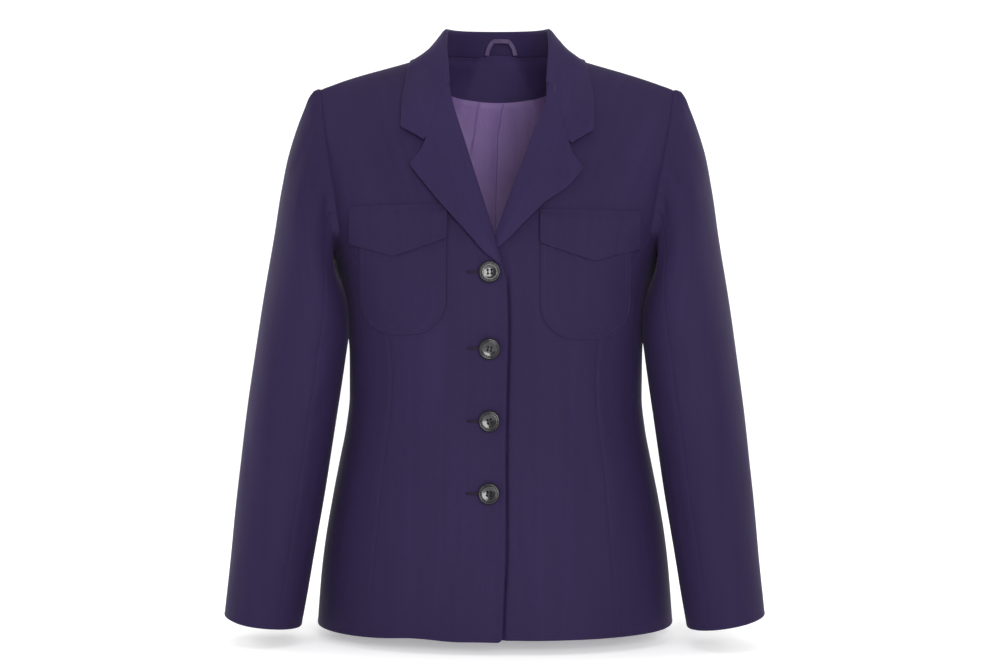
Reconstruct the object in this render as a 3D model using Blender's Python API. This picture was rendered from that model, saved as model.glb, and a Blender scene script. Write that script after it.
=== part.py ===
"""A woman's single-breasted blazer, filled out as if worn, with no wearer in it.

Metres, +Z up. The front faces -Y and the wearer's left is +X. The origin lies midway between
the two side neck points. Each sewn piece is a thin wall of its own, 0.3 mm from its neighbours.
"""
import math

import bmesh
import bpy
import numpy as np

MM = 0.001

# ---------------------------------------------------------------- driving sizes
CLOTH = 1.8 * MM            # suiting with its interlining
LAPEL_CLOTH = 2.2 * MM      # two layers and canvas
POCKET_CLOTH = 1.1 * MM
FLAP_CLOTH = 1.6 * MM
FACING_CLOTH = 1.1 * MM
LINING_CLOTH = 1.0 * MM
SEAM_GAP = 0.3 * MM
LAY_GAP = 0.5 * MM          # air between a panel and what lies on it
FACING_GAP = 2.6 * MM       # seam allowances lie between the back and what faces it
LINING_GAP = 1.8 * MM
LINING_HEM_RISE = 20 * MM
PLEAT_DEPTH = 1.5 * MM
FACING_REACH = 104 * MM     # along the shoulder seam

SECTION_POWER = 2.3         # 2 is an ellipse, more is squarer
FRONT_ROUNDING = 85 * MM    # height over which the chest turns up to the shoulder seam
BACK_ROUNDING = 75 * MM
NECK_RISE = 20.0            # how steeply the form rises inside the neck, per metre
SHOULDER_ARCH = 1.8 * MM    # how far the shoulder seam rises above the straight

HEM_LEVEL = -637 * MM
OVER_HEM_DROP = 1.8 * MM    # the front that laps over hangs a little lower
LEFT_SIDE_DROP = 4.6 * MM   # the wearer's left lapel and pocket sit a little lower
COLLAR_SHIFT = 2 * MM       # the collar's ends sit this far towards the wearer's left
CROSSING_SHIFT = (0.9 * MM, 2.5 * MM)   # right and left lapel cross just left of the centre front
NECK_POINT = (75 * MM, 0.0)             # x, z where shoulder seam meets neck seam
SHOULDER_TIP = (200 * MM, -41 * MM)     # x, z where shoulder seam meets armhole
BACK_NECK_LEVEL = 12 * MM
GORGE = (54 * MM, -42 * MM)             # x, z where the neck seam meets the roll line
UNDERARM_LEVEL = -229 * MM
ARMHOLE_HALF_DEPTH = 57.5 * MM
FRONT_ARMHOLE_BASE = -205 * MM
BACK_ARMHOLE_BASE = -195 * MM

BUTTON_LINE = -3.6 * MM     # buttons sit a little to the wearer's right of the centre front
BUTTON_LEVELS = [-251 * MM, -331 * MM, -408 * MM, -484 * MM]
BUTTON_RADIUS = 11.4 * MM
BUTTON_STAND = 2.2 * MM     # thread shank between cloth and button
BUTTON_SIDES = 24
SHANK_RADIUS = 2.2 * MM
HOLE_RADIUS = 0.9 * MM
HOLE_PITCH = 2.4 * MM       # from the button's centre to each of its four holes
LAPEL_AIR = 4 * MM          # under lapel and collar on the chest, enough to clear a pocket flap
LOOP_HALF_WIDTH = 3 * MM

SUITING = (0.037, 0.024, 0.076)
SATIN = (0.105, 0.065, 0.150)
BUTTON_BLACK = (0.012, 0.012, 0.015)


def table(names, rows):
    """Named columns from rows given in millimetres."""
    columns = np.array(rows, dtype=float).T * MM
    return dict(zip(names.split(), columns))


BODY = table("level half_width front back side", [
    (12, 204, -34, 78, 12),
    (0, 204, -36, 84, 12),
    (-41, 205, -47, 94, 5),
    (-75, 205, -63, 100, 2),
    (-110, 205, -80, 104, 0),
    (-150, 203, -98, 107, 0),
    (-180, 197, -107, 107, 0),
    (-205, 189, -113, 105, 0),
    (-229, 180.5, -117, 103, 0),
    (-260, 172, -118.5, 98, 0),
    (-300, 167, -115, 90, 0),
    (-340, 164.5, -108, 84, 0),
    (-385, 164.4, -105, 82, 0),
    (-420, 168, -106, 86, 0),
    (-460, 175.3, -109, 93, 0),
    (-500, 183.2, -112, 101, 0),
    (-540, 190.2, -115, 108, 0),
    (-580, 195, -117.5, 113.5, 0),
    (-645, 199.7, -121, 119.5, 0),
])

# The front edge of the lap, measured across the centre front towards the other side.
LAP = table("level over under", [
    (-645, 10.4, 17),
    (-608, 11.2, 17.2),
    (-582, 12.4, 17.4),
    (-545, 13.6, 17.6),
    (-500, 13.6, 18),
    (-450, 13.1, 18),
    (-400, 13.5, 18),
    (-356, 14.5, 18),
    (-305, 15.3, 18),
    (-276, 14.5, 17.5),
    (-260, 13.4, 15),
    (-246, 10.4, 11),
    (-234, 6.6, 6),
    (-222, 3.4, 0),
    (-210, 0.9, -2.5),
])

PANEL_SEAMS = table("level front back", [
    (-645, 134, 152),
    (-574, 128.6, 146),
    (-464, 119, 137),
    (-400, 111.5, 130),
    (-360, 110, 128),
    (-330, 112, 130),
    (-300, 119, 136),
    (-260, 136, 147),
    (-229, 155, 160),
    (-205, 170, 170),
    (-195, 173, 173),
])

ARMHOLE = table("level front back", [
    (-205, 170, 171),
    (-195, 171.3, 173),
    (-171, 175.5, 178),
    (-141, 181, 183),
    (-110, 187, 187),
    (-81, 193, 192),
    (-41, 200, 200),
])

# Rows of the front and back panels below the armhole, then up to the shoulder seam.
LOWER_ROWS = table("centre seam", [
    (-637, -637), (-603, -603), (-562, -562), (-520, -520), (-478, -478), (-438, -438),
    (-400, -400), (-365, -365), (-332, -330), (-303, -298), (-276, -269), (-250, -244),
])
FRONT_UPPER_ROWS = table("roll seam", [
    (-224, -224), (-210, -205), (-180, -183), (-150, -158), (-118, -131), (-86, -105),
    (-62, -84), (-42, -66), (-22, -53), (-6, -44), (0, -41),
])
BACK_UPPER_ROWS = table("centre seam", [
    (-222, -219), (-196, -195), (-168, -173), (-138, -150), (-110, -126), (-84, -103),
    (-60, -83), (-42, -69), (-25, -58), (-9, -49), (4, -43), (12, -41),
])

BASE_ROW = len(LOWER_ROWS["seam"]) + 1      # the panels' row at the foot of the armhole
NECK_COLUMNS, SHOULDER_COLUMNS = 7, 5       # of half the back's top row

# Sleeve rings from the armhole to the cuff: the outer line, the line next to the body, half the
# depth, and how much of the armhole's own shape a ring keeps, in thousandths.
SLEEVE = table("top_x top_y top_z under_x under_y under_z half_depth armhole_share", [
    (206.5, 0, -41.5, 183.2, 0, -229.8, 59, 950),
    (212, 0, -47.5, 183, -4, -234, 61, 850),
    (217.3, -1, -61, 180.5, -12, -240, 62, 700),
    (224.6, -3, -81, 177.6, -21, -247, 62.5, 450),
    (234.1, -6, -112.7, 173.7, -30, -255, 62, 200),
    (240.5, -10, -153, 168.6, -36, -270, 61.5, 0),
    (247.5, -15, -206, 165.2, -38, -290, 60.5, 0),
    (256.1, -21, -262.7, 163, -39, -312, 59, 0),
    (264.5, -27, -322, 165, -38.5, -341, 57, 0),
    (273, -36, -393.3, 174, -43, -404, 54.5, 0),
    (280, -44, -467.8, 184.4, -49, -478, 51, 0),
    (287, -51, -550.3, 197.8, -55, -560, 47, 0),
    (292, -56, -597.9, 205.3, -58, -607, 44.5, 0),
    (293.5, -58, -617.5, 209.8, -60, -632.7, 43.5, 0),
])

# The lapel's outer edge, up from the front edge to its tip.
LAPEL_EDGE = table("x z", [
    (-9, -241), (2, -234.5), (28, -209), (52, -183), (73, -160), (92, -136.5),
])
GORGE_LINE = table("x z", [
    (54, -42), (60.5, -66.5), (67, -91), (74, -114), (83, -125), (92, -136.5),
])
COLLAR_END = table("x z", [
    (54, -42), (60, -67.5), (66.5, -92.5), (73.5, -115.5), (89, -103), (104, -92),
])

# Collar stations from the centre back round to the gorge: the seam, the fold's top and the
# fall's edge, and how far the fall bows in towards the seam, in thousandths.
COLLAR = table("seam_x seam_z fold_x fold_y fold_z edge_x edge_y edge_z hollow", [
    (0, 12, 0, 75, 41, 0, 91, -8, 300),
    (22, 10.9, 20, 73.5, 40.8, 28, 90, -8.5, 300),
    (42, 8.2, 38, 65, 39.5, 54, 83, -10, 300),
    (58, 4.8, 50, 49, 37, 79, 66, -12, 300),
    (69, 1.8, 57, 31, 34.5, 93, 40, -11, 300),
    (75, 0, 58, 12, 30, 97, 10, -4, 300),
    (71.5, -7, 57.5, -5, 18, 100, -18, -17.5, 200),
    (66, -18, 57, -21, 2, 103, -38, -44, 100),
    (60, -30, 55.5, -36, -18, 104, -54, -68, 0),
    (54.5, -41, 54, -50, -41, 104, -70, -92, 0),
])


NECK_STATION = 5                                    # the station at the side neck point
END_BEND = np.array([0.12, 0.4, 1.0])               # how far the last stations follow the collar's end
FALL_AIR = np.array([0, 0.3, 0.7, 1, 1, 1])         # share of the air under the fall, fold to edge
FOLD_HEIGHT, FOLD_HALF_WIDTH = 2.6 * MM, 1.9 * MM   # of the round turn along the collar's fold
FALL_CLEARANCE = 3.4 * MM                           # from the body to the middle of the fall's cloth


def smooth(levels, values, at):
    """Monotone cubic through a table's rows, without overshoot."""
    order = np.argsort(levels)
    x, y = levels[order], values[order]
    step = np.diff(x)
    slope = np.diff(y) / step
    tangent = np.empty_like(y)
    tangent[0], tangent[-1] = slope[0], slope[-1]
    same = slope[:-1] * slope[1:] > 0
    pair = np.where(same, slope[:-1] + slope[1:], 1.0)
    tangent[1:-1] = np.where(same, 2 * slope[:-1] * slope[1:] / pair, 0.0)
    at = np.clip(np.asarray(at, dtype=float), x[0], x[-1])
    cell = np.clip(np.searchsorted(x, at) - 1, 0, len(step) - 1)
    width = step[cell]
    t = (at - x[cell]) / width
    return ((1 + 2 * t) * (1 - t) ** 2 * y[cell] + t * (1 - t) ** 2 * width * tangent[cell]
            + t * t * (3 - 2 * t) * y[cell + 1] - t * t * (1 - t) * width * tangent[cell + 1])


def read(source, column, at):
    return smooth(source["level"], source[column], at)


# ---------------------------------------------------------------- the form of the body
def shoulder_height(x):
    """Height of the shoulder seam above the point x, carried on inside the neck."""
    fall = SHOULDER_TIP[1] / (SHOULDER_TIP[0] - NECK_POINT[0])
    inside = np.maximum(NECK_POINT[0] - np.abs(x), 0)
    along = np.clip((np.abs(x) - NECK_POINT[0]) / (SHOULDER_TIP[0] - NECK_POINT[0]), 0, 1)
    arch = 4 * SHOULDER_ARCH * along * (1 - along)
    return fall * (np.abs(x) - NECK_POINT[0]) + NECK_RISE * inside ** 2 + arch


def rounding(share):
    share = np.clip(share, 0, 1)
    return np.sqrt(1 - (1 - share) ** 2)


def body_point(turn, level):
    """Point on the outer surface. turn runs 0 at centre front, 1 at the side, 2 at centre back."""
    turn, level = np.broadcast_arrays(np.asarray(turn, float), np.asarray(level, float))
    sine, cosine = np.sin(turn * math.pi / 2), np.cos(turn * math.pi / 2)
    x = read(BODY, "half_width", level) * np.sign(sine) * np.abs(sine) ** (2 / SECTION_POWER)
    reach = np.abs(cosine) ** (2 / SECTION_POWER)
    below = np.maximum(shoulder_height(x) - level, 0)
    side = read(BODY, "side", level)
    front = (read(BODY, "front", level) - side) * rounding(below / FRONT_ROUNDING)
    back = (read(BODY, "back", level) - side) * rounding(below / BACK_ROUNDING)
    y = side + reach * np.where(turn <= 1, front, back)
    return np.stack([x, y, level], axis=-1)


def turn_at(x, level, back=False):
    share = np.clip(np.abs(x) / read(BODY, "half_width", level), 0, 1)
    turn = np.sign(x) * np.arcsin(share ** (SECTION_POWER / 2)) * 2 / math.pi
    return 2 - turn if back else turn


def unit(vectors):
    return vectors / np.maximum(np.linalg.norm(vectors, axis=-1, keepdims=True), 1e-12)


def body_normal(turn, level):
    """Outward normal. On the shoulder seam it is square to the seam, the same for both panels."""
    turn, level = np.broadcast_arrays(np.asarray(turn, float), np.asarray(level, float))
    along = body_point(turn + 0.002, level) - body_point(turn - 0.002, level)
    up = body_point(turn, level + 0.5 * MM) - body_point(turn, level - 0.5 * MM)
    normal = unit(np.cross(along, up))
    x = body_point(turn, level)[..., 0]
    ridge = unit(np.array([-SHOULDER_TIP[1], 0, SHOULDER_TIP[0] - NECK_POINT[0]]))
    near_seam = np.clip(1 - (shoulder_height(x) - level) / (2 * MM), 0, 1)[..., None]
    ridge = ridge * np.stack([np.where(x < 0, -1.0, 1.0), np.ones_like(x), np.ones_like(x)], -1)
    return unit(normal * (1 - near_seam) + ridge * near_seam)


def on_body(turn, level, lift):
    return body_point(turn, level) + np.asarray(lift)[..., None] * body_normal(turn, level)


def front_at(x, level, lift):
    return on_body(turn_at(x, level), level, lift)


def outside(point):
    """Signed distance, roughly, from the body's surface near neck and shoulders."""
    def implicit(p):
        x, y, z = p[..., 0], p[..., 1], p[..., 2]
        side = read(BODY, "side", z)
        is_front = y <= side
        depth = np.where(is_front, side - read(BODY, "front", z), read(BODY, "back", z) - side)
        share = np.clip(np.abs(x) / read(BODY, "half_width", z), 0, 0.995)
        depth = depth * (1 - share ** SECTION_POWER) ** (1 / SECTION_POWER)
        height = np.where(is_front, FRONT_ROUNDING, BACK_ROUNDING)
        rise = np.maximum(1 - (shoulder_height(x) - z) / height, 0)
        return np.sqrt(((y - side) / depth) ** 2 + rise ** 2) - 1

    step = 0.2 * MM
    gradient = np.stack([
        (implicit(point + step * axis) - implicit(point - step * axis)) / (2 * step)
        for axis in np.eye(3)], axis=-1)
    size = np.maximum(np.linalg.norm(gradient, axis=-1), 1e-6)
    return implicit(point) / size, gradient / size[..., None]


def push_out(points, lift):
    """Move points that lie closer than lift to the body straight out to it."""
    points = points.copy()
    for _ in range(6):
        distance, direction = outside(points)
        points += np.maximum(lift - distance, 0)[..., None] * direction
    return points


# ---------------------------------------------------------------- meshes
def make_material(name, colour, roughness):
    material = bpy.data.materials.new(name)
    material.use_nodes = True
    shader = material.node_tree.nodes["Principled BSDF"]
    shader.inputs["Base Color"].default_value = (*colour, 1)
    shader.inputs["Roughness"].default_value = roughness
    material.diffuse_color = (*colour, 1)
    return material


def add_object(name, bm, colour, roughness):
    bmesh.ops.recalc_face_normals(bm, faces=bm.faces)
    mesh = bpy.data.meshes.new(name)
    bm.to_mesh(mesh)
    bm.free()
    mesh.shade_smooth()
    mesh.set_sharp_from_angle(angle=math.radians(40))
    mesh.materials.append(make_material(name, colour, roughness))
    piece = bpy.data.objects.new(name, mesh)
    bpy.context.scene.collection.objects.link(piece)
    return piece


def wall(name, outer, inner, mirror=False, colour=SUITING, roughness=0.75):
    """A closed cloth wall between two grids of points, which share rows and columns."""
    rows, columns = outer.shape[:2]
    bm = bmesh.new()
    flip = np.array([-1, 1, 1]) if mirror else np.ones(3)
    skins = [[[bm.verts.new(skin[r, c] * flip) for c in range(columns)] for r in range(rows)]
             for skin in (outer, inner)]
    for skin in skins:
        for r in range(rows - 1):
            for c in range(columns - 1):
                bm.faces.new((skin[r][c], skin[r][c + 1], skin[r + 1][c + 1], skin[r + 1][c]))
    rim = [(0, c) for c in range(columns)]
    rim += [(r, columns - 1) for r in range(1, rows)]
    rim += [(rows - 1, c) for c in range(columns - 2, -1, -1)]
    rim += [(r, 0) for r in range(rows - 2, 0, -1)]
    for (r, c), (s, d) in zip(rim, rim[1:] + rim[:1]):
        bm.faces.new((skins[0][r][c], skins[0][s][d], skins[1][s][d], skins[1][r][c]))
    return add_object(name, bm, colour, roughness)


def lathe(bm, profile, sides):
    """Closed turned solid about +Z from a profile of radius and height, ends on the axis."""
    rings = []
    for radius, height in profile:
        if radius == 0:
            rings.append([bm.verts.new((0, 0, height))])
        else:
            rings.append([bm.verts.new((radius * math.cos(2 * math.pi * k / sides),
                                        radius * math.sin(2 * math.pi * k / sides), height))
                          for k in range(sides)])
    for low, high in zip(rings, rings[1:]):
        for k in range(sides):
            here, there = (k, (k + 1) % sides)
            corners = [low[here % len(low)], low[there % len(low)],
                       high[there % len(high)], high[here % len(high)]]
            bm.faces.new(list(dict.fromkeys(corners)))


def pull_in(grid, column, distance):
    """Draw one edge column of a grid of points back along its rows."""
    neighbour = 1 if column == 0 else column - 1
    grid[:, column] += unit(grid[:, neighbour] - grid[:, column]) * distance


# ---------------------------------------------------------------- fronts, sides and back
def seam_turn(column, level):
    return turn_at(read(PANEL_SEAMS, column, level), level, back=column == "back")


def roll_x(level):
    """Half the neck opening at a level, on the straight roll line below the gorge."""
    crossing, top = LAP["level"][-1], GORGE[1]
    return GORGE[0] * np.clip((level - crossing) / (top - crossing), 0, 1)


def shifted_roll(level, over):
    """The same with the crossing moved to the wearer's left; over is the right front."""
    shift = CROSSING_SHIFT[0 if over else 1] * np.clip((level - GORGE[1]) / (-60 * MM), 0, 1)
    return roll_x(level) - shift if over else roll_x(level) + shift


def front_edge(level, over):
    if level >= LAP["level"][-1]:
        neck = NECK_POINT[0] + (GORGE[0] - NECK_POINT[0]) * level / GORGE[1]
        return neck if level > GORGE[1] else float(shifted_roll(level, over))
    return -float(read(LAP, "over" if over else "under", level))


def coons(left, right, bottom_bow, top_bow):
    """Rows between two edges of (x, level); each bow is how far its row leaves the straight."""
    share = np.linspace(0, 1, len(bottom_bow))[:, None]
    rows = []
    for k, (start, end) in enumerate(zip(left, right)):
        s = k / (len(left) - 1)
        rows.append(start * (1 - share) + end * share + (1 - s) * bottom_bow + s * top_bow)
    return np.array(rows)


def bow(points):
    share = np.linspace(0, 1, len(points))[:, None]
    return points - (points[0] * (1 - share) + points[-1] * share)


def front_rows(over, columns=9):
    """turn and level over the whole front panel, as two grids."""
    turns, levels = [], []
    for centre, seam in zip(LOWER_ROWS["centre"], LOWER_ROWS["seam"]):
        start = turn_at(front_edge(centre, over), centre)
        turns.append(np.linspace(start, seam_turn("front", seam), columns))
        levels.append(np.linspace(centre, seam, columns))
    left = np.array([(front_edge(z, over), z) for z in FRONT_UPPER_ROWS["roll"]])
    low = FRONT_UPPER_ROWS["seam"] < FRONT_ARMHOLE_BASE
    edge = np.where(low, read(PANEL_SEAMS, "front", FRONT_UPPER_ROWS["seam"]),
                    read(ARMHOLE, "front", FRONT_UPPER_ROWS["seam"]))
    right = np.stack([edge, FRONT_UPPER_ROWS["seam"]], axis=-1)
    level = np.linspace(left[0, 1], right[0, 1], columns)
    x = body_point(np.linspace(turn_at(*left[0]), turn_at(*right[0]), columns), level)[:, 0]
    reach = np.linspace(NECK_POINT[0], SHOULDER_TIP[0], columns)
    shoulder = np.stack([reach, shoulder_height(reach)], axis=-1)
    upper = coons(left, right, bow(np.stack([x, level], axis=-1)), bow(shoulder))
    turns = np.concatenate([turns, turn_at(upper[..., 0], upper[..., 1])])
    return turns, np.concatenate([levels, upper[..., 1]])


def make_front(side, over):
    turns, levels = front_rows(over)
    x = np.abs(body_point(turns, levels)[..., 0]) * np.sign(turns)
    if over:
        share = np.clip((levels + 470 * MM) / (HEM_LEVEL + 470 * MM), 0, 1)
        levels = levels - OVER_HEM_DROP * share * np.clip(1 - x / (90 * MM), 0, 1)
        sink = np.zeros_like(x)
    else:
        sink = (CLOTH + LAY_GAP) * np.clip((46 * MM - x) / (22 * MM), 0, 1)
        sink = sink * np.clip((-168 * MM - levels) / (30 * MM), 0, 1)
    outer, inner = on_body(turns, levels, -sink), on_body(turns, levels, -sink - CLOTH)
    for grid in (outer, inner):
        pull_in(grid[:BASE_ROW + 1], grid.shape[1] - 1, SEAM_GAP / 2)
        grid[-1, :, 1] -= SEAM_GAP / 2
    return wall("front_" + side, outer, inner, mirror=side == "right")


def side_rows(columns=7):
    turns, levels = [], []
    tops = [(FRONT_UPPER_ROWS["seam"][0], -236 * MM, BACK_UPPER_ROWS["seam"][0]),
            (FRONT_ARMHOLE_BASE, UNDERARM_LEVEL, BACK_ARMHOLE_BASE)]
    share = np.linspace(0, 1, columns)
    for low in LOWER_ROWS["seam"]:
        turns.append(seam_turn("front", low) * (1 - share) + seam_turn("back", low) * share)
        levels.append(np.full(columns, low))
    for front, middle, back in tops:
        level = front * (1 - share) + back * share
        level = level - 4 * share * (1 - share) * ((front + back) / 2 - middle)
        turns.append(seam_turn("front", front) * (1 - share) + seam_turn("back", back) * share)
        levels.append(level)
    return np.array(turns), np.array(levels)


def make_side(side):
    turns, levels = side_rows()
    outer, inner = on_body(turns, levels, 0), on_body(turns, levels, -CLOTH)
    for grid in (outer, inner):
        pull_in(grid, 0, SEAM_GAP / 2)
        pull_in(grid, grid.shape[1] - 1, SEAM_GAP / 2)
    return wall("side_" + side, outer, inner, mirror=side == "right")


def back_neck_curve(x):
    return BACK_NECK_LEVEL * (1 - (x / NECK_POINT[0]) ** 2)


def back_rows():
    """Half of the back, from the centre to the seam; the top row is neck seam, then shoulder."""
    columns = NECK_COLUMNS + SHOULDER_COLUMNS
    turns, levels = [], []
    for centre, seam in zip(LOWER_ROWS["centre"], LOWER_ROWS["seam"]):
        turns.append(np.linspace(2, seam_turn("back", seam), columns))
        levels.append(np.linspace(centre, seam, columns))
    seam = BACK_UPPER_ROWS["seam"]
    edge = np.where(seam < BACK_ARMHOLE_BASE, read(PANEL_SEAMS, "back", seam),
                    read(ARMHOLE, "back", seam))
    left = np.stack([np.zeros(len(seam)), BACK_UPPER_ROWS["centre"]], axis=-1)
    right = np.stack([edge, seam], axis=-1)
    level = np.linspace(left[0, 1], right[0, 1], columns)
    x = body_point(np.linspace(2, turn_at(*right[0], back=True), columns), level)[:, 0]
    neck = NECK_POINT[0] * np.sin(np.linspace(0, math.pi / 2, NECK_COLUMNS))
    shoulder = np.linspace(NECK_POINT[0], SHOULDER_TIP[0], SHOULDER_COLUMNS + 1)[1:]
    top = np.concatenate([np.stack([neck, back_neck_curve(neck)], axis=-1),
                          np.stack([shoulder, shoulder_height(shoulder)], axis=-1)])
    upper = coons(left, right, bow(np.stack([x, level], axis=-1)), bow(top))
    turns = np.concatenate([turns, turn_at(upper[..., 0], upper[..., 1], back=True)])
    return turns, np.concatenate([levels, upper[..., 1]])


def both_halves(half):
    """A grid from centre to side, mirrored into one grid from side to side."""
    mirrored = half[:, :0:-1] * np.array([-1, 1, 1])
    return np.concatenate([mirrored, half], axis=1)


def make_back():
    turns, levels = back_rows()
    outer, inner = on_body(turns, levels, 0), on_body(turns, levels, -CLOTH)
    for grid in (outer, inner):
        pull_in(grid[:BASE_ROW + 1], grid.shape[1] - 1, SEAM_GAP / 2)
        grid[-1, NECK_COLUMNS - 1:, 1] += SEAM_GAP / 2
    return wall("back", both_halves(outer), both_halves(inner))


# ---------------------------------------------------------------- sleeves
def armhole_loop():
    """The armhole from the shoulder tip down the front, under the arm and up the back."""
    front_turns, front_levels = front_rows(True)
    side_turns, side_levels = side_rows()
    back_turns, back_levels = back_rows()
    down = slice(None, BASE_ROW - 1, -1)
    front = body_point(front_turns[down, -1], front_levels[down, -1])
    under = body_point(side_turns[-1, 1:-1], side_levels[-1, 1:-1])
    back = body_point(back_turns[BASE_ROW:-1, -1], back_levels[BASE_ROW:-1, -1])
    return np.concatenate([front, under, back]), len(front)


def sleeve_rings():
    """Outer skin of the sleeve: one row of points for each ring, the armhole's first."""
    loop, front_count = armhole_loop()
    lowest = int(np.argmin(loop[:, 2]))
    length = np.linalg.norm(np.diff(loop, axis=0, append=loop[:1]), axis=-1)
    travelled = np.concatenate([[0], np.cumsum(length)[:-1]])
    down, total = travelled[lowest], length.sum()
    angle = np.where(travelled <= down, travelled / down,
                     1 + (travelled - down) / (total - down)) * math.pi
    top, under = loop[0, [0, 2]], loop[lowest, [0, 2]]
    chord = under - top
    across = np.array([-chord[1], chord[0]]) / np.linalg.norm(chord)
    share = (loop[:, [0, 2]] - top) @ chord / (chord @ chord)
    swell = (loop[:, [0, 2]] - top) @ across
    rings = [loop + np.array([0.5 * MM, 0, 0])]
    for k in range(len(SLEEVE["top_x"])):
        row = {name: column[k] for name, column in SLEEVE.items()}
        kept = row["armhole_share"]
        high = np.array([row["top_x"], row["top_z"]])
        run = np.array([row["under_x"], row["under_z"]]) - high
        square = np.array([-run[1], run[0]]) / np.linalg.norm(run)
        part = kept * share + (1 - kept) * (1 - np.cos(angle)) / 2
        y = row["top_y"] * (1 - part) + row["under_y"] * part
        y = y + row["half_depth"] * (kept * loop[:, 1] / ARMHOLE_HALF_DEPTH - (1 - kept) * np.sin(angle))
        flat = high + part[:, None] * run + kept * swell[:, None] * square
        rings.append(np.stack([flat[:, 0], y, flat[:, 1]], axis=-1))
    return np.array(rings), front_count


def ring_normals(rings):
    around = np.roll(rings, -1, axis=1) - np.roll(rings, 1, axis=1)
    along = np.gradient(rings, axis=0)
    return unit(np.cross(along, around))


def make_sleeve(side):
    rings, front_count = sleeve_rings()
    normals = ring_normals(rings)
    middle = rings.mean(axis=1, keepdims=True)
    normals *= np.sign(np.sum(normals * (rings - middle), axis=-1).sum())
    inner = rings - CLOTH * normals
    columns = rings.shape[1]
    front_seam, back_seam = front_count - 2, front_count + 8
    spans = {"under": np.arange(front_seam, back_seam + 1),
             "top": np.arange(back_seam, columns + front_seam + 1) % columns}
    for part, span in spans.items():
        outer_part, inner_part = rings[:, span], inner[:, span]
        for grid in (outer_part, inner_part):
            pull_in(grid, 0, SEAM_GAP / 2)
            pull_in(grid, grid.shape[1] - 1, SEAM_GAP / 2)
        wall("sleeve_" + part + "_" + side, outer_part, inner_part, mirror=side == "right")


# ---------------------------------------------------------------- lapels and collar
def along_line(line, count):
    """Evenly spaced points on a polyline of x and z."""
    points = np.stack([line["x"], line["z"]], axis=-1)
    length = np.concatenate([[0], np.cumsum(np.linalg.norm(np.diff(points, axis=0), axis=-1))])
    at = np.linspace(0, length[-1], count)
    return np.stack([np.interp(at, length, points[:, k]) for k in range(2)], axis=-1)


def side_share(x):
    """How much of a side's drop and shift a point takes: none near the roll line."""
    return np.clip((x - GORGE[0]) / (20 * MM), 0, 1)


def lapel_lift(across, up):
    """Air under the lapel: none at the roll line, then enough to clear the pocket flap."""
    return LAY_GAP + LAPEL_AIR * np.clip(across / 0.45, 0, 1) * np.clip(up / 0.2, 0, 1)


def make_lapel(side, over, rows=11, columns=6):
    if over:
        levels = np.linspace(-236 * MM, GORGE[1], rows)
        edge = along_line(LAPEL_EDGE, rows)
    else:
        levels = np.linspace(-206 * MM, GORGE[1], rows)
        edge = along_line({name: column[1:] for name, column in LAPEL_EDGE.items()}, rows)
        edge = edge + np.linspace(1, 0, rows)[:, None] * np.array([7.5, 12]) * MM
    roll = np.array([(front_edge(z, over) + 0.3 * MM, z) for z in levels])
    top = np.stack([GORGE_LINE["x"], GORGE_LINE["z"]], axis=-1)
    flat = coons(roll, edge, np.zeros((columns, 2)), bow(top))
    share = side_share(flat[..., 0])
    flat[..., 0] += share * (-COLLAR_SHIFT if over else COLLAR_SHIFT)
    flat[..., 1] -= share * (0 if over else LEFT_SIDE_DROP)
    across = np.linspace(0, 1, columns)[None, :].repeat(rows, axis=0)
    up = np.linspace(0, 1, rows)[:, None].repeat(columns, axis=1)
    lift = lapel_lift(across, up)
    inner = front_at(flat[..., 0], flat[..., 1], lift)
    outer = front_at(flat[..., 0], flat[..., 1], lift + LAPEL_CLOTH)
    return wall("lapel_" + side, outer, inner, mirror=side == "right")


def collar_seam():
    """The neck seam at each of the collar's stations, just above the body."""
    x, z = COLLAR["seam_x"], COLLAR["seam_z"]
    behind = COLLAR["fold_y"] > 2 * COLLAR["fold_y"][NECK_STATION]
    turn = np.where(behind, turn_at(x, z, back=True), turn_at(x, z))
    return body_point(turn, z) + np.array([0, 0, LAY_GAP])


def collar_half(drop, shift):
    """Centre line of the folded collar's wall: a row for each station, stand then fall."""
    seam = collar_seam()
    fold = np.stack([COLLAR["fold_x"], COLLAR["fold_y"], COLLAR["fold_z"]], axis=-1)
    edge = np.stack([COLLAR["edge_x"], COLLAR["edge_y"], COLLAR["edge_z"]], axis=-1)
    apart = FOLD_HALF_WIDTH * unit(edge - seam)
    turn_in = fold + FOLD_HEIGHT * unit(seam - fold) - apart
    turn_out = fold + FOLD_HEIGHT * unit(edge - fold) + apart
    stand = np.stack([seam, (seam + turn_in) / 2, turn_in, fold], axis=1)

    share = np.linspace(0, 1, len(FALL_AIR))[None, :, None]
    fall = turn_out[:, None] + (edge - turn_out)[:, None] * share
    fall += (seam[:, None] - fall) * COLLAR["hollow"][:, None, None] * 4 * share * (1 - share)
    bend = bow(np.stack([COLLAR_END["x"], np.zeros(len(FALL_AIR)), COLLAR_END["z"]], axis=-1))
    fall[-len(END_BEND):] += END_BEND[:, None, None] * bend
    amount = side_share(fall[..., 0]) * np.clip(fall[..., 2] / GORGE[1], 0, 1)
    fall[..., 0] += shift * amount
    fall[..., 2] -= drop * amount

    fall = push_out(fall, FALL_CLEARANCE)
    chest = np.clip(-fall[..., 2] / (60 * MM), 0, 1)
    lift = LAY_GAP + CLOTH / 2 + LAPEL_AIR * FALL_AIR * chest
    on_chest = slice(NECK_STATION + 1, None)
    fall[on_chest] = push_out(fall[on_chest], lift[on_chest])
    return np.concatenate([stand, fall], axis=1)


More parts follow.
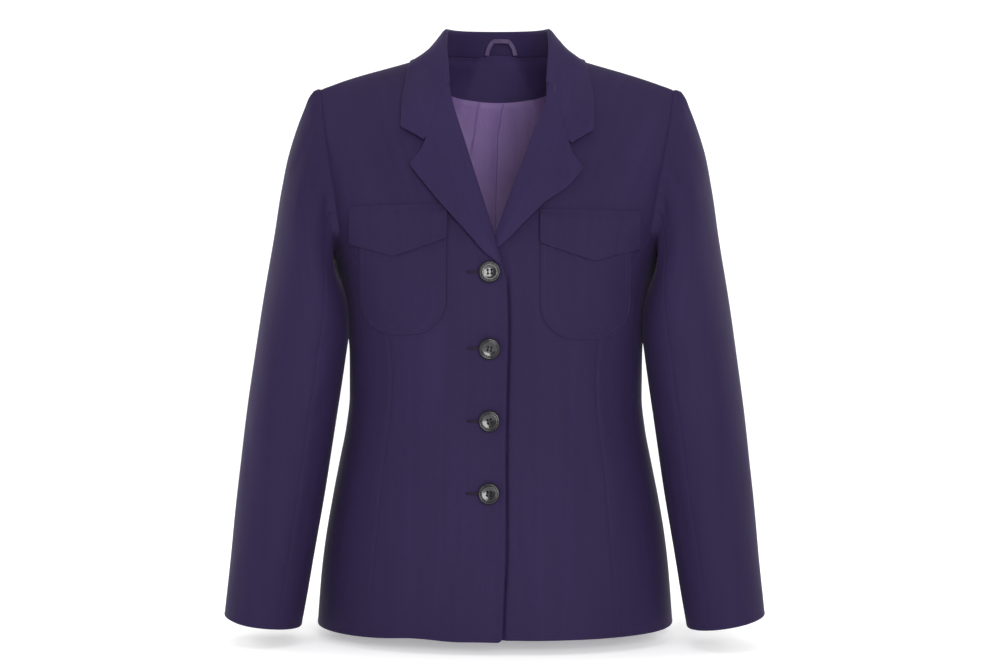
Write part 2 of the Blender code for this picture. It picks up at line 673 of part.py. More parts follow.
def make_collar():
    left = collar_half(LEFT_SIDE_DROP, COLLAR_SHIFT)
    right = collar_half(0, -COLLAR_SHIFT) * np.array([-1, 1, 1])
    centre = np.concatenate([right[:0:-1], left])
    along = np.gradient(centre, axis=0)
    across = np.gradient(centre, axis=1)
    normals = unit(np.cross(along, across))
    thickness = CLOTH / 2
    return wall("collar", centre + thickness * normals, centre - thickness * normals)


# ---------------------------------------------------------------- inside the back
def facing_edge(x):
    """Lower edge of the back neck facing."""
    return -39 * MM + 6 * MM * (x / (50 * MM)) ** 2


def inside_grid(x, level, depth):
    return on_body(turn_at(x, level, back=True), level, -depth)


def inside_top(x):
    """Neck seam, then shoulder seam, as the pieces inside the back meet them."""
    return np.where(x < NECK_POINT[0], back_neck_curve(np.minimum(x, NECK_POINT[0])) - 1.5 * MM,
                    shoulder_height(x) - 2 * MM)


def make_facing():
    neck = NECK_POINT[0] * np.sin(np.linspace(0, math.pi / 2, 8))
    reach = np.concatenate([neck, np.linspace(NECK_POINT[0], FACING_REACH, 4)[1:]])
    share = np.linspace(0, 1, 5)[:, None]
    level = facing_edge(reach) * (1 - share) + inside_top(reach) * share
    x = np.broadcast_to(reach, level.shape)
    depth = CLOTH + FACING_GAP
    skins = [both_halves(inside_grid(x, level, depth)),
             both_halves(inside_grid(x, level, depth + FACING_CLOTH))]
    return wall("facing_back_neck", *skins)


def make_lining():
    """Lining of the back, hem to facing, with the pleat at its centre standing in a little."""
    columns, lower_rows, upper_rows = 8, 9, 6
    share = np.linspace(0, 1, columns)
    side_inset = 3 * MM
    turns, levels = [], []
    for level in np.linspace(HEM_LEVEL + LINING_HEM_RISE, -200 * MM, lower_rows):
        x = read(PANEL_SEAMS, "back", level) - side_inset
        turns.append(2 * (1 - share) + turn_at(x, level, back=True) * share)
        levels.append(np.full(columns, level))
    low = body_point(turns[-1], levels[-1])[:, [0, 2]]
    reach = share * (SHOULDER_TIP[0] - side_inset - 2 * MM)
    top = np.minimum(facing_edge(reach) - 1.0 * MM, shoulder_height(reach) - 4 * MM)
    left = np.stack([np.zeros(upper_rows), np.linspace(low[0, 1], top[0], upper_rows)], axis=-1)
    side_level = np.linspace(low[-1, 1], top[-1], upper_rows)
    right = np.stack([read(ARMHOLE, "back", side_level) - side_inset, side_level], axis=-1)
    upper = coons(left, right, bow(low), bow(np.stack([reach, top], axis=-1)))[1:]
    turns = np.concatenate([turns, turn_at(upper[..., 0], upper[..., 1], back=True)])
    levels = np.concatenate([levels, upper[..., 1]])
    depth = np.full(levels.shape, CLOTH + LINING_GAP)
    depth[:, 0] += PLEAT_DEPTH
    skins = [both_halves(on_body(turns, levels, -depth)),
             both_halves(on_body(turns, levels, -depth - LINING_CLOTH))]
    return wall("lining_back", *skins, colour=SATIN, roughness=0.4)


def make_loop():
    """Hanger loop: a flat strip whose two ends sit on the collar seam."""
    route = table("x y z", [(-17.5, 74.2, 15), (-15.5, 73.2, 22), (-10, 72.6, 28.5),
                            (-8, 72.5, 29.5), (8, 72.5, 29.5), (10, 72.6, 28.5),
                            (15.5, 73.2, 22), (17.5, 74.2, 15)])
    path = np.stack([route["x"], route["y"], route["z"]], axis=-1)
    along = unit(np.gradient(path, axis=0))
    back = np.array([0, 1.0, 0])
    side = unit(np.cross(along, back))
    outer = np.stack([path - side * LOOP_HALF_WIDTH, path + side * LOOP_HALF_WIDTH], axis=1)
    return wall("hanger_loop", outer, outer + back * LINING_CLOTH, colour=SATIN, roughness=0.4)


# ---------------------------------------------------------------- pockets and flaps
POCKET = {"inner": 49 * MM, "outer": 145 * MM, "top": -192 * MM, "bottom": -317 * MM,
          "corner": 38 * MM}
FLAP_SEAM = 2 * MM          # from the flap's top edge down to where it starts to lift
FLAP_OUTLINE = table("x top bottom", [
    (48.5, -179, -216), (67, -179, -222), (86, -179, -228), (105.5, -179, -234), (122, -179, -229),
    (139, -179, -224), (155.5, -179, -219),
])


def make_pocket(side):
    """Patch pocket with a deep round bottom, a row of its grid for each height."""
    drop = LEFT_SIDE_DROP if side == "left" else 0
    corner = POCKET["corner"]
    round_rows = corner * (1 - np.cos(np.linspace(0, math.pi / 2, 7)))
    straight_rows = np.linspace(corner, POCKET["top"] - POCKET["bottom"], 5)[1:]
    rise = np.concatenate([round_rows, straight_rows])
    left = np.maximum(corner - rise, 0)
    inset = corner - np.sqrt(corner ** 2 - left ** 2)
    share = np.linspace(0, 1, 7)[None, :]
    x = ((POCKET["inner"] + inset)[:, None] * (1 - share)
         + (POCKET["outer"] - inset)[:, None] * share)
    level = np.broadcast_to((POCKET["bottom"] + rise)[:, None] - drop, x.shape)
    inner, outer = front_at(x, level, LAY_GAP), front_at(x, level, LAY_GAP + POCKET_CLOTH)
    return wall("pocket_" + side, outer, inner, mirror=side == "right")


def make_flap(side):
    drop = LEFT_SIDE_DROP if side == "left" else 0
    share = np.linspace(0, 1, 5)[:, None]
    level = FLAP_OUTLINE["bottom"] * (1 - share) + FLAP_OUTLINE["top"] * share - drop
    x = np.broadcast_to(FLAP_OUTLINE["x"], level.shape)
    below_seam = FLAP_OUTLINE["top"] - FLAP_SEAM - drop - level
    over_pocket = np.clip(below_seam / (8 * MM), 0, 1)
    lift = LAY_GAP + (POCKET_CLOTH + LAY_GAP) * over_pocket
    inner, outer = front_at(x, level, lift), front_at(x, level, lift + FLAP_CLOTH)
    return wall("flap_" + side, outer, inner, mirror=side == "right")


# ---------------------------------------------------------------- buttons
BUTTON = table("share height", [        # outline from under the rim to the centre of the dish
    (720, 0), (960, 1.3), (1000, 2.1), (950, 3.0), (820, 3.1), (720, 2.3), (600, 2.4), (300, 1.9),
])
DISH_FLOOR = 1.8 * MM


def drill_hole(button, number, k):
    """One of the button's four holes, cut by a short six-sided pin."""
    pin = bmesh.new()
    bmesh.ops.create_cone(pin, cap_ends=True, segments=6, radius1=HOLE_RADIUS, radius2=HOLE_RADIUS,
                          depth=1.6 * MM)
    angle = math.radians(45 + 90 * k)
    cutter = add_object("hole_" + str(number) + str(k), pin, BUTTON_BLACK, 0.5)
    cutter.location = (HOLE_PITCH * math.cos(angle), HOLE_PITCH * math.sin(angle), 2 * MM)
    cutter.parent = button
    cutter.hide_render = True
    cutter.display_type = "WIRE"
    cut = button.modifiers.new("hole " + str(k), "BOOLEAN")
    cut.operation = "DIFFERENCE"
    cut.object = cutter


def make_button(number, level):
    """Four-hole button with a raised rim, on a thread shank, facing forward."""
    shank = [(0, -BUTTON_STAND), (SHANK_RADIUS, -BUTTON_STAND), (SHANK_RADIUS, 0)]
    disc = list(zip(BUTTON_RADIUS * BUTTON["share"], BUTTON["height"]))
    bm = bmesh.new()
    lathe(bm, shank + disc + [(0, DISH_FLOOR)], BUTTON_SIDES)
    button = add_object("button_" + str(number), bm, BUTTON_BLACK, 0.25)
    for k in range(4):
        drill_hole(button, number, k)
    seat = front_at(BUTTON_LINE, level, 0.0)
    normal = body_normal(turn_at(BUTTON_LINE, level), level)
    tilt = math.atan2(normal[2], -normal[1])
    button.rotation_euler = (math.pi / 2 - tilt, 0, 0)
    button.location = seat + normal * (BUTTON_STAND + SEAM_GAP)
    return button


def main():
    for old in list(bpy.data.objects):
        bpy.data.objects.remove(old)
    for side, over in (("right", True), ("left", False)):
        make_front(side, over)
        make_side(side)
        make_sleeve(side)
        make_lapel(side, over)
        make_pocket(side)
        make_flap(side)
    make_back()
    make_collar()
    make_facing()
    make_lining()
    make_loop()
    for number, level in enumerate(BUTTON_LEVELS, start=1):
        make_button(number, level)


main()
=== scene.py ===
import math

import bmesh
import bpy
import numpy as np
from mathutils import Matrix, Vector


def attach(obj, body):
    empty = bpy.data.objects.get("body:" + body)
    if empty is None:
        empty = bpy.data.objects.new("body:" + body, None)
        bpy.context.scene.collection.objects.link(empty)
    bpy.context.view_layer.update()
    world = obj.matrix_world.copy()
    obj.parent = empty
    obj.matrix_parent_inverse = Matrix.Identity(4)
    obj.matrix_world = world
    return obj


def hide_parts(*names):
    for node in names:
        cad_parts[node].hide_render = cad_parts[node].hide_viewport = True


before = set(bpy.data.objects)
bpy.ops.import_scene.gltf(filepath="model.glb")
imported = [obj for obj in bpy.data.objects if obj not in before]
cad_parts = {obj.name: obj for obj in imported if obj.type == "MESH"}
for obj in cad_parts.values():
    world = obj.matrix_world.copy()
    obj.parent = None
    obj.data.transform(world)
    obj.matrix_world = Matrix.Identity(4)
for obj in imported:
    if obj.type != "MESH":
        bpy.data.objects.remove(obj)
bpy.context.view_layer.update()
mm = 0.001
print("frame:", len(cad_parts), "CAD nodes")


# numbers in tables, and smooth curves through them

def table(names, rows):  # named columns in metres from rows in millimetres
    return dict(zip(names.split(), np.array(rows, float).T * mm))


def cubic(t, width, ends, slopes):  # between two values with given slopes, t from 0 to 1
    return ((1 + 2 * t) * (1 - t) ** 2 * ends[0] + t * (1 - t) ** 2 * width * slopes[0]
            + t * t * (3 - 2 * t) * ends[1] - t * t * (1 - t) * width * slopes[1])


def smooth(levels, values, at):  # monotone cubic through a table, so nothing overshoots
    order = np.argsort(levels)
    x, y = levels[order], values[order]
    step = np.diff(x)
    slope = np.diff(y) / step
    tangent = np.concatenate([slope[:1], np.zeros(len(y) - 2), slope[-1:]])
    same = slope[:-1] * slope[1:] > 0
    pair = np.where(same, slope[:-1] + slope[1:], 1.0)
    tangent[1:-1] = np.where(same, 2 * slope[:-1] * slope[1:] / pair, 0)
    at = np.clip(np.asarray(at, float), x[0], x[-1])
    cell = np.clip(np.searchsorted(x, at) - 1, 0, len(step) - 1)
    return cubic((at - x[cell]) / step[cell], step[cell], (y[cell], y[cell + 1]),
                 (tangent[cell], tangent[cell + 1]))


def read(source, column, at):
    return smooth(source["level"], source[column], at)


def through(knots, values, at):  # cubic through values at knots, along the first axis
    shape = (-1,) + (1,) * (values.ndim - 1)
    step = np.diff(knots).reshape(shape)
    slope = np.diff(values, axis=0) / step
    middle = (slope[:-1] * step[1:] + slope[1:] * step[:-1]) / (step[:-1] + step[1:])
    first, last = 1.5 * slope[:1] - 0.5 * middle[:1], 1.5 * slope[-1:] - 0.5 * middle[-1:]
    tangent = np.concatenate([first, middle, last])
    cell = np.clip(np.searchsorted(knots, at, "right") - 1, 0, len(knots) - 2)
    return cubic((at - knots[cell]).reshape(shape) / step[cell], step[cell],
                 (values[cell], values[cell + 1]), (tangent[cell], tangent[cell + 1]))


def travelled(points):  # distance travelled from the first point to each
    return np.concatenate([[0], np.cumsum(np.linalg.norm(np.diff(points, axis=0), axis=-1))])


def unit(vectors):
    return vectors / np.maximum(np.linalg.norm(vectors, axis=-1, keepdims=True), 1e-12)


def ramp(value):  # 0 to 1, soft at both ends
    value = np.clip(value, 0, 1)
    return value * value * (3 - 2 * value)


# what these three read from the dictionaries is in bare millimetres: a start or a place, and a width

def rising(value, start, width):
    return ramp((value - start * mm) / (width * mm))


def growing(value, start, width):  # the same, straight
    return np.clip((value - start * mm) / (width * mm), 0, 1)


def bump(value, place, width):
    return np.exp(-((value - place * mm) / (width * mm)) ** 2)


# the form that the cloth is filled out to, the same as the frame's

body = table("level halfWidth front back side", [
    (12, 204, -34, 78, 12), (0, 204, -36, 84, 12), (-41, 205, -47, 94, 5), (-75, 205, -63, 100, 2),
    (-110, 205, -80, 104, 0), (-150, 203, -98, 107, 0), (-180, 197, -107, 107, 0),
    (-205, 189, -113, 105, 0), (-229, 180.5, -117, 103, 0), (-260, 172, -118.5, 98, 0),
    (-300, 167, -115, 90, 0), (-340, 164.5, -108, 84, 0), (-385, 164.4, -105, 82, 0),
    (-420, 168, -106, 86, 0), (-460, 175.3, -109, 93, 0), (-500, 183.2, -112, 101, 0),
    (-540, 190.2, -115, 108, 0), (-580, 195, -117.5, 113.5, 0), (-645, 199.7, -121, 119.5, 0),
])
form = {
    "squareness": 2.3,  # of a level section: 2 is an ellipse
    "frontRounding": 85 * mm,  # height over which chest and back turn up to the shoulder seam
    "backRounding": 75 * mm,
    "neckRise": 20.0,  # how fast the form rises inside the neck, per metre
    "shoulderArch": 1.8 * mm,
    "neckPoint": (75 * mm, 0.0),  # shoulder seam at the neck
    "shoulderTip": (200 * mm, -41 * mm),  # shoulder seam at the armhole
    "backNeck": 12 * mm,
    "gorge": (54 * mm, -42 * mm),  # neck seam at the roll line
    "rollShift": (0.9 * mm, 2.5 * mm),  # both roll lines meet the front edges left of the centre
    "rollBow": (0.4 * mm, 1.6 * mm),  # and bow outwards between the crossing and the gorge
    "leftDrop": 4.6 * mm,  # the wearer's left lapel and pocket sit lower
    "collarShift": 2 * mm,
    "calmFrom": (-60, 50),  # no folds at the shoulder seams
}
lap = table("level over under", [  # front edge, measured past the centre front
    (-645, 10.4, 17), (-608, 11.2, 17.2), (-582, 12.4, 17.4), (-545, 13.6, 17.6), (-500, 13.6, 18),
    (-450, 13.1, 18), (-400, 13.5, 18), (-356, 14.5, 18), (-305, 15.3, 18), (-276, 14.5, 17.5),
    (-260, 13.4, 15), (-246, 10.4, 11), (-234, 6.6, 6), (-222, 3.4, 0), (-210, 0.9, -2.5),
])
panelSeams = table("level front back", [
    (-645, 134, 152), (-574, 128.6, 146), (-464, 119, 137), (-400, 111.5, 130), (-360, 110, 128),
    (-330, 112, 130), (-300, 119, 136), (-260, 136, 147), (-229, 155, 160), (-205, 170, 170),
    (-195, 173, 173),
])
armhole = table("level front back", [
    (-205, 170, 171), (-195, 171.3, 173), (-171, 175.5, 178), (-141, 181, 183), (-110, 187, 187),
    (-81, 193, 192), (-41, 200, 200),
])
lowerRows = [(-637, -637), (-603, -603), (-562, -562), (-520, -520), (-478, -478), (-438, -438),
             (-400, -400), (-365, -365), (-332, -330), (-303, -298), (-276, -269), (-250, -244)]
frontRows = table("inner seam", lowerRows + [  # levels of each row at the front edge and the seam
    (-224, -224), (-210, -205), (-180, -183), (-150, -158), (-118, -131), (-86, -105), (-62, -84),
    (-42, -66), (-22, -53), (-6, -44), (0, -41)])
backRows = table("inner seam", lowerRows + [
    (-222, -219), (-196, -195), (-168, -173), (-138, -150), (-110, -126), (-84, -103), (-60, -83),
    (-42, -69), (-25, -58), (-9, -49), (4, -43), (12, -41)])
waistRow = len(lowerRows)  # the row just under the armhole, where a panel's upper part starts
footRow = waistRow + 1  # the row at the foot of the armhole
rowStep = 0.5  # a row is made at each half row of these tables


def shoulderHeight(x):
    (neckX, _), (tipX, tipZ) = form["neckPoint"], form["shoulderTip"]
    x = np.abs(x)
    along = np.clip((x - neckX) / (tipX - neckX), 0, 1)
    inside = np.maximum(neckX - x, 0)
    return (tipZ / (tipX - neckX) * (x - neckX) + form["neckRise"] * inside ** 2
            + 4 * form["shoulderArch"] * along * (1 - along))


def bodyPoint(turn, level):  # turn is 0 at centre front, 1 at the side, 2 at centre back
    turn, level = np.broadcast_arrays(np.asarray(turn, float), np.asarray(level, float))
    sine, cosine = np.sin(turn * math.pi / 2), np.cos(turn * math.pi / 2)
    power = 2 / form["squareness"]
    side = read(body, "side", level)
    below = np.maximum(shoulderHeight(read(body, "halfWidth", level) * np.abs(sine) ** power) - level, 0)
    rounds = [np.sqrt(1 - (1 - np.clip(below / form[height], 0, 1)) ** 2)
              for height in ("frontRounding", "backRounding")]
    depth = np.where(turn <= 1, (read(body, "front", level) - side) * rounds[0],
                     (read(body, "back", level) - side) * rounds[1])
    x = read(body, "halfWidth", level) * np.sign(sine) * np.abs(sine) ** power
    return np.stack([x, side + np.abs(cosine) ** power * depth, level], axis=-1)


def turnAt(x, level, back=False):
    share = np.clip(np.abs(x) / read(body, "halfWidth", level), 0, 1)
    turn = np.sign(x) * np.arcsin(share ** (form["squareness"] / 2)) * 2 / math.pi
    return 2 - turn if back else turn


def bodyNormal(turn, level):  # square to the shoulder seam on it, the same for front and back
    turn, level = np.broadcast_arrays(np.asarray(turn, float), np.asarray(level, float))
    around = bodyPoint(turn + 0.002, level) - bodyPoint(turn - 0.002, level)
    up = bodyPoint(turn, level + 0.5 * mm) - bodyPoint(turn, level - 0.5 * mm)
    x = bodyPoint(turn, level)[..., 0]
    (neckX, _), (tipX, tipZ) = form["neckPoint"], form["shoulderTip"]
    ridge = unit(np.stack([np.where(x < 0, tipZ, -tipZ), 0 * x, 0 * x + tipX - neckX], axis=-1))
    onSeam = np.clip(1 - (shoulderHeight(x) - level) / (2 * mm), 0, 1)[..., None]
    return unit(unit(np.cross(around, up)) * (1 - onSeam) + ridge * onSeam)


def onBody(turn, level, lift):
    return bodyPoint(turn, level) + np.asarray(lift)[..., None] * bodyNormal(turn, level)


def bodyDistance(p):  # rough signed distance from the form's surface, and which way is out
    def implicit(q):
        x, y, z = q[..., 0], q[..., 1], q[..., 2]
        side = read(body, "side", z)
        isFront = y <= side
        share = np.clip(np.abs(x) / read(body, "halfWidth", z), 0, 0.995)
        depth = np.where(isFront, side - read(body, "front", z), read(body, "back", z) - side)
        depth = depth * (1 - share ** form["squareness"]) ** (1 / form["squareness"])
        height = np.where(isFront, form["frontRounding"], form["backRounding"])
        rise = np.maximum(1 - (shoulderHeight(x) - z) / height, 0)
        return np.sqrt(((y - side) / depth) ** 2 + rise ** 2) - 1

    h = 0.2 * mm
    slope = np.stack([(implicit(p + h * axis) - implicit(p - h * axis)) / (2 * h) for axis in np.eye(3)], -1)
    steepness = np.maximum(np.linalg.norm(slope, axis=-1), 1e-6)
    return implicit(p) / steepness, slope / steepness[..., None]


def pushOut(points, lift):
    for _ in range(6):
        distance, outward = bodyDistance(points)
        points = points + np.maximum(lift - distance, 0)[..., None] * outward
    return points


# folds: every crease is placed in the plane of the cloth, in millimetres:
# how far round (from centre front, or from the top of the sleeve) and how high at each end,
# how far it bows, its half width, and its height, where a trough is negative

def alike(folds, share):  # much the same folds elsewhere, weaker and moved a little
    return [(a + 4, b - 9, c - 3, d + 6, e, w * 1.15, h * share) for a, b, c, d, e, w, h in folds]


creases = {
    "body": [
        (-73, -300, -70, -410, 2, 9, 0.55), (-52, -430, -49, -560, -2, 7, -0.45),
        (-44, -436, -41, -550, -2, 6, 0.35), (-96, -350, -105, -470, 4, 10, -0.5),
        (-20, -262, -60, -292, -4, 7, -0.6), (-22, -342, -64, -356, 3, 8, -0.5),
        (-22, -420, -58, -432, 2, 8, -0.4), (24, -340, 66, -330, 3, 8, -0.45),
        (26, -268, 64, -296, 4, 8, 0.4), (-150, -118, -176, -190, 8, 9, -0.9),
        (-138, -112, -162, -196, 8, 9, 0.6), (152, -120, 180, -186, -8, 9, -0.7),
        (60, -470, 66, -600, 3, 13, 0.5), (92, -400, 104, -520, -4, 11, -0.5),
        (-120, -560, -112, -634, 2, 9, 0.8), (-98, -590, -96, -640, 1, 6, -0.9),
        (-70, -596, -66, -640, 1, 7, 0.8), (-180, -340, -96, -372, 5, 9, -0.7),
        (-196, -366, -120, -392, -4, 8, -0.5), (176, -346, 100, -376, -5, 9, -0.6),
        (206, -372, 128, -390, 4, 8, -0.5), (-214, -250, -206, -330, 5, 10, 0.9),
        (214, -246, 205, -325, -5, 10, 0.8), (-228, -400, -236, -560, 5, 14, 0.9),
        (230, -410, 236, -590, -5, 14, 0.8),
        # across the back of the waist, over the shoulder blades and down the skirt
        (-290, -352, -420, -372, 7, 9, -1.0), (-310, -386, -424, -392, -6, 8, 0.8),
        (295, -360, 424, -378, -7, 9, -0.9), (318, -392, 422, -402, 5, 8, -0.7),
        (-280, -236, -360, -150, -12, 11, -1.1), (278, -232, 364, -146, 12, 11, -1.0),
        (-300, -240, -380, -176, -10, 10, 0.8), (302, -250, 378, -170, 10, 10, 0.7),
        (-385, -470, -392, -630, 4, 16, 1.1), (-325, -500, -336, -636, 5, 15, -1.0),
        (384, -450, 390, -630, -4, 16, 1.0), (322, -490, 334, -634, -5, 14, -0.9),
        (-424, -60, -410, -130, 5, 12, 0.7), (422, -64, 404, -140, -5, 12, -0.7),
    ],
    "sleeveRight": [  # round the sleeve the front is positive
        (58, -72, 62, -190, 3, 7, 1.3), (72, -84, 78, -186, 3, 6, -1.2),
        (90, -96, 97, -205, 3, 7, 0.9), (40, -66, 42, -150, 2, 6, -0.8),
        (104, -150, 120, -260, 4, 9, -0.9), (-52, -80, -58, -190, -3, 8, 1.0),
        (-68, -92, -78, -200, -3, 8, -1.0), (140, -318, 72, -352, 7, 10, -1.2),
        (146, -350, 82, -392, 8, 9, 1.0), (140, -392, 80, -424, 7, 9, -1.1),
        (132, -430, 76, -450, 6, 10, 0.8), (30, -300, 62, -384, 6, 12, 0.8),
        (22, -392, 50, -500, 5, 11, -0.8), (100, -490, 60, -540, 5, 11, -0.6),
        (-40, -300, -110, -352, -8, 12, -1.1), (-44, -344, -116, -392, -8, 11, 1.0),
        (-50, -404, -108, -436, -6, 10, -0.9), (-12, -440, 8, -590, 3, 13, 0.8),
        (70, -560, 64, -622, 2, 9, 0.7), (-66, -480, -58, -600, 3, 12, 0.8),
    ],
}
creases["sleeveLeft"] = alike(creases["sleeveRight"], 0.75)


def foldHeight(across, up, name):
    height = np.zeros_like(across)
    for x0, z0, x1, z1, bow, width, depth in creases[name]:
        run = np.array([x1 - x0, z1 - z0]) * mm
        length = np.linalg.norm(run)
        dx, dz = across - x0 * mm, up - z0 * mm
        t = (dx * run[0] + dz * run[1]) / length ** 2
        aside = (dz * run[0] - dx * run[1]) / length - 4 * bow * mm * t * (1 - t)
        fade = np.sin(math.pi * np.clip(t, 0, 1)) ** 0.8
        height += depth * mm * fade * np.exp(-(aside / (width * mm)) ** 2)
    return height


def waviness(across, up, seed, amount):  # cloth is never quite even: long waves, longest downwards
    draw = np.random.default_rng(seed)
    height = 0.0
    for _ in range(9):
        wide, tall = draw.uniform(45, 130) * mm, draw.uniform(120, 380) * mm * draw.choice([-1, 1])
        height += np.sin(2 * math.pi * (across / wide + up / tall) + draw.uniform(0, 6.28))
    return amount * height / 4


girthTurns = np.linspace(0, 2, 121)
girthPoints = bodyPoint(girthTurns, -400 * mm)
girths = travelled(girthPoints)


def bodyFolds(turn, level):
    turn = np.where(turn > 2, turn - 4, turn)
    around = np.sign(turn) * np.interp(np.abs(turn), girthTurns, girths)
    calm = 1 - rising(level, *form["calmFrom"])
    return calm * (foldHeight(around, level, "body") + waviness(around, level, 4, 0.35 * mm))


# grids of points

def stations(length, step, near=(0, 0.25, 0.6, 1.1, 1.8, 3, 4.6)):  # even, and closer at both ends
    near = np.array(near) * mm
    count = max(int((length - 2 * near[-1]) / step), 2)
    middle = np.linspace(near[-1], length - near[-1], count + 1)
    return np.concatenate([near[:-1], middle, length - near[-2::-1]])


def merged(*places):  # in order, and none so close to the one before that a face there has no width
    at = np.sort(np.concatenate(places))
    kept = [at[0]]
    for place in at[1:-1]:
        if min(place - kept[-1], at[-1] - place) > 0.2 * mm:
            kept.append(place)
    return np.array([*kept, at[-1]])


def rowPlaces(fields):  # of each row, in the mean down all columns; the first 3 fields are x y z
    run = np.linalg.norm(np.diff(fields[..., :3], axis=0), axis=-1).mean(axis=1)
    return np.concatenate([[0], np.cumsum(run)])


def refine(fields, steps, places=(None, None)):  # finer rows and columns
    for axis in (0, 1):
        fields = np.moveaxis(fields, axis, 0)
        knots = rowPlaces(fields)
        at = places[axis](knots[-1]) if places[axis] else stations(knots[-1], steps[axis])
        fields = np.moveaxis(through(knots, fields, at), 0, axis)
    return fields


def bodyFields(turns, levels):
    return np.concatenate([bodyPoint(turns, levels), turns[..., None], levels[..., None]], axis=-1)


def bow(points):
    share = np.linspace(0, 1, len(points))[:, None]
    return points - (points[0] * (1 - share) + points[-1] * share)


def coons(left, right, bottomBow, topBow):
    across = np.linspace(0, 1, len(bottomBow))[None, :, None]
    up = np.linspace(0, 1, len(left))[:, None, None]
    return left[:, None] * (1 - across) + right[:, None] * across + (1 - up) * bottomBow + up * topBow


def sideDistances(grid):  # of each point from the grid's four sides, along the cloth
    down = np.linalg.norm(np.diff(grid, axis=0), axis=-1)
    over = np.linalg.norm(np.diff(grid, axis=1), axis=-1)
    zeroRow, zeroColumn = np.zeros((1, grid.shape[1])), np.zeros((grid.shape[0], 1))
    start = np.concatenate([zeroRow, np.cumsum(down, axis=0)])
    left = np.concatenate([zeroColumn, np.cumsum(over, axis=1)], axis=1)
    return {"start": start, "end": start[-1:] - start, "left": left, "right": left[:, -1:] - left}


def roundCorner(grid, row, column, radius):  # row and column are 0 or -1
    toSide = sideDistances(grid)
    a = toSide["start" if row == 0 else "end"]
    b = toSide["left" if column == 0 else "right"]
    p, q = np.maximum(radius - a, 0), np.maximum(radius - b, 0)
    keep = np.maximum(p, q) / np.maximum(np.hypot(p, q), 1e-9)
    inwardA = -unit(np.gradient(grid, axis=0)) if row else unit(np.gradient(grid, axis=0))
    inwardB = -unit(np.gradient(grid, axis=1)) if column else unit(np.gradient(grid, axis=1))
    return grid + (p * (1 - keep))[..., None] * inwardA + (q * (1 - keep))[..., None] * inwardB


# cloth: a thin closed shell on a grid, with its edges turned and its seams pressed in

cloth = {
    "suiting": 1.8 * mm, "lapel": 2.2 * mm, "pocket": 1.1 * mm, "flap": 1.6 * mm, "facing": 1.1 * mm,
    "lining": 1.0 * mm,
    "seamDip": 0.75 * mm, "seamAt": (0, 1.3),  # how a seam draws the cloth in
    "allowance": 0.22 * mm,  # seam allowances pressed open under the cloth
    "allowanceFrom": (1.5, 2), "allowanceTo": (9, 3),
    "edgeBead": 0.22 * mm, "beadAt": (2.2, 1.3),  # fullness just inside a turned edge
    "edgeThin": 0.15, "edgeRound": 0.9,  # shares of the thickness: at the edge, and how far in
    "stitchDip": 0.32 * mm, "stitchAt": (0, 1.1),  # under a row of topstitching
    "turnUp": 36 * mm, "turnUpStep": 0.5 * mm,  # hems, on the inside
    "turnUpEnd": (0, 1.2),
    "layGap": 0.5 * mm,
}


def edgeProfile(toSide, sides, thickness):  # share of the thickness, and how far the cloth moves out
    thin, push = 1.0, 0.0
    for kind, side, weight in [(*row, 1.0)[:3] for row in sides]:
        d = toSide[side] if isinstance(side, str) else side  # or the distances themselves
        if kind == "seam":
            push = push - weight * cloth["seamDip"] * bump(d, *cloth["seamAt"])
            ridge = rising(d, *cloth["allowanceFrom"]) * (1 - rising(d, *cloth["allowanceTo"]))
            push = push + weight * cloth["allowance"] * ridge
        elif kind == "topstitch":  # weight is how far the row of stitches lies from the side
            push = push - cloth["stitchDip"] * bump(d - weight, *cloth["stitchAt"])
        else:
            share = np.clip(d / (cloth["edgeRound"] * thickness), 0, 1)
            turned = cloth["edgeThin"] + (1 - cloth["edgeThin"]) * np.sqrt(1 - (1 - share) ** 2)
            thin = np.minimum(thin, 1 + weight * (turned - 1))
            push = push + weight * cloth["edgeBead"] * bump(d, *cloth["beadAt"])
    return thin, push


def gridNormals(grid, outward):
    normal = unit(np.cross(np.gradient(grid, axis=1), np.gradient(grid, axis=0)))
    return normal * np.sign(np.sum(normal * outward))


def skins(middle, thickness, sides, outward, innerExtra=0.0):
    toSide = sideDistances(middle)
    normal = gridNormals(middle, outward)
    thin, push = edgeProfile(toSide, sides, thickness)
    half = np.asarray(thickness / 2 * thin)[..., None]
    push = np.broadcast_to(push, middle.shape[:2])[..., None]
    inside = np.broadcast_to(innerExtra, middle.shape[:2])[..., None] * np.asarray(thin)[..., None]
    return middle + normal * (push + half), middle + normal * (push - half - inside), toSide


def layFlat(mesh, flat):  # each vertex's place along the cloth, in metres, for the weave to follow
    uv = mesh.uv_layers.new(name="cloth")
    corner = np.empty(len(mesh.loops), np.int32)
    mesh.loops.foreach_get("vertex_index", corner)
    uv.data.foreach_set("uv", flat[corner].astype(np.float32).ravel())


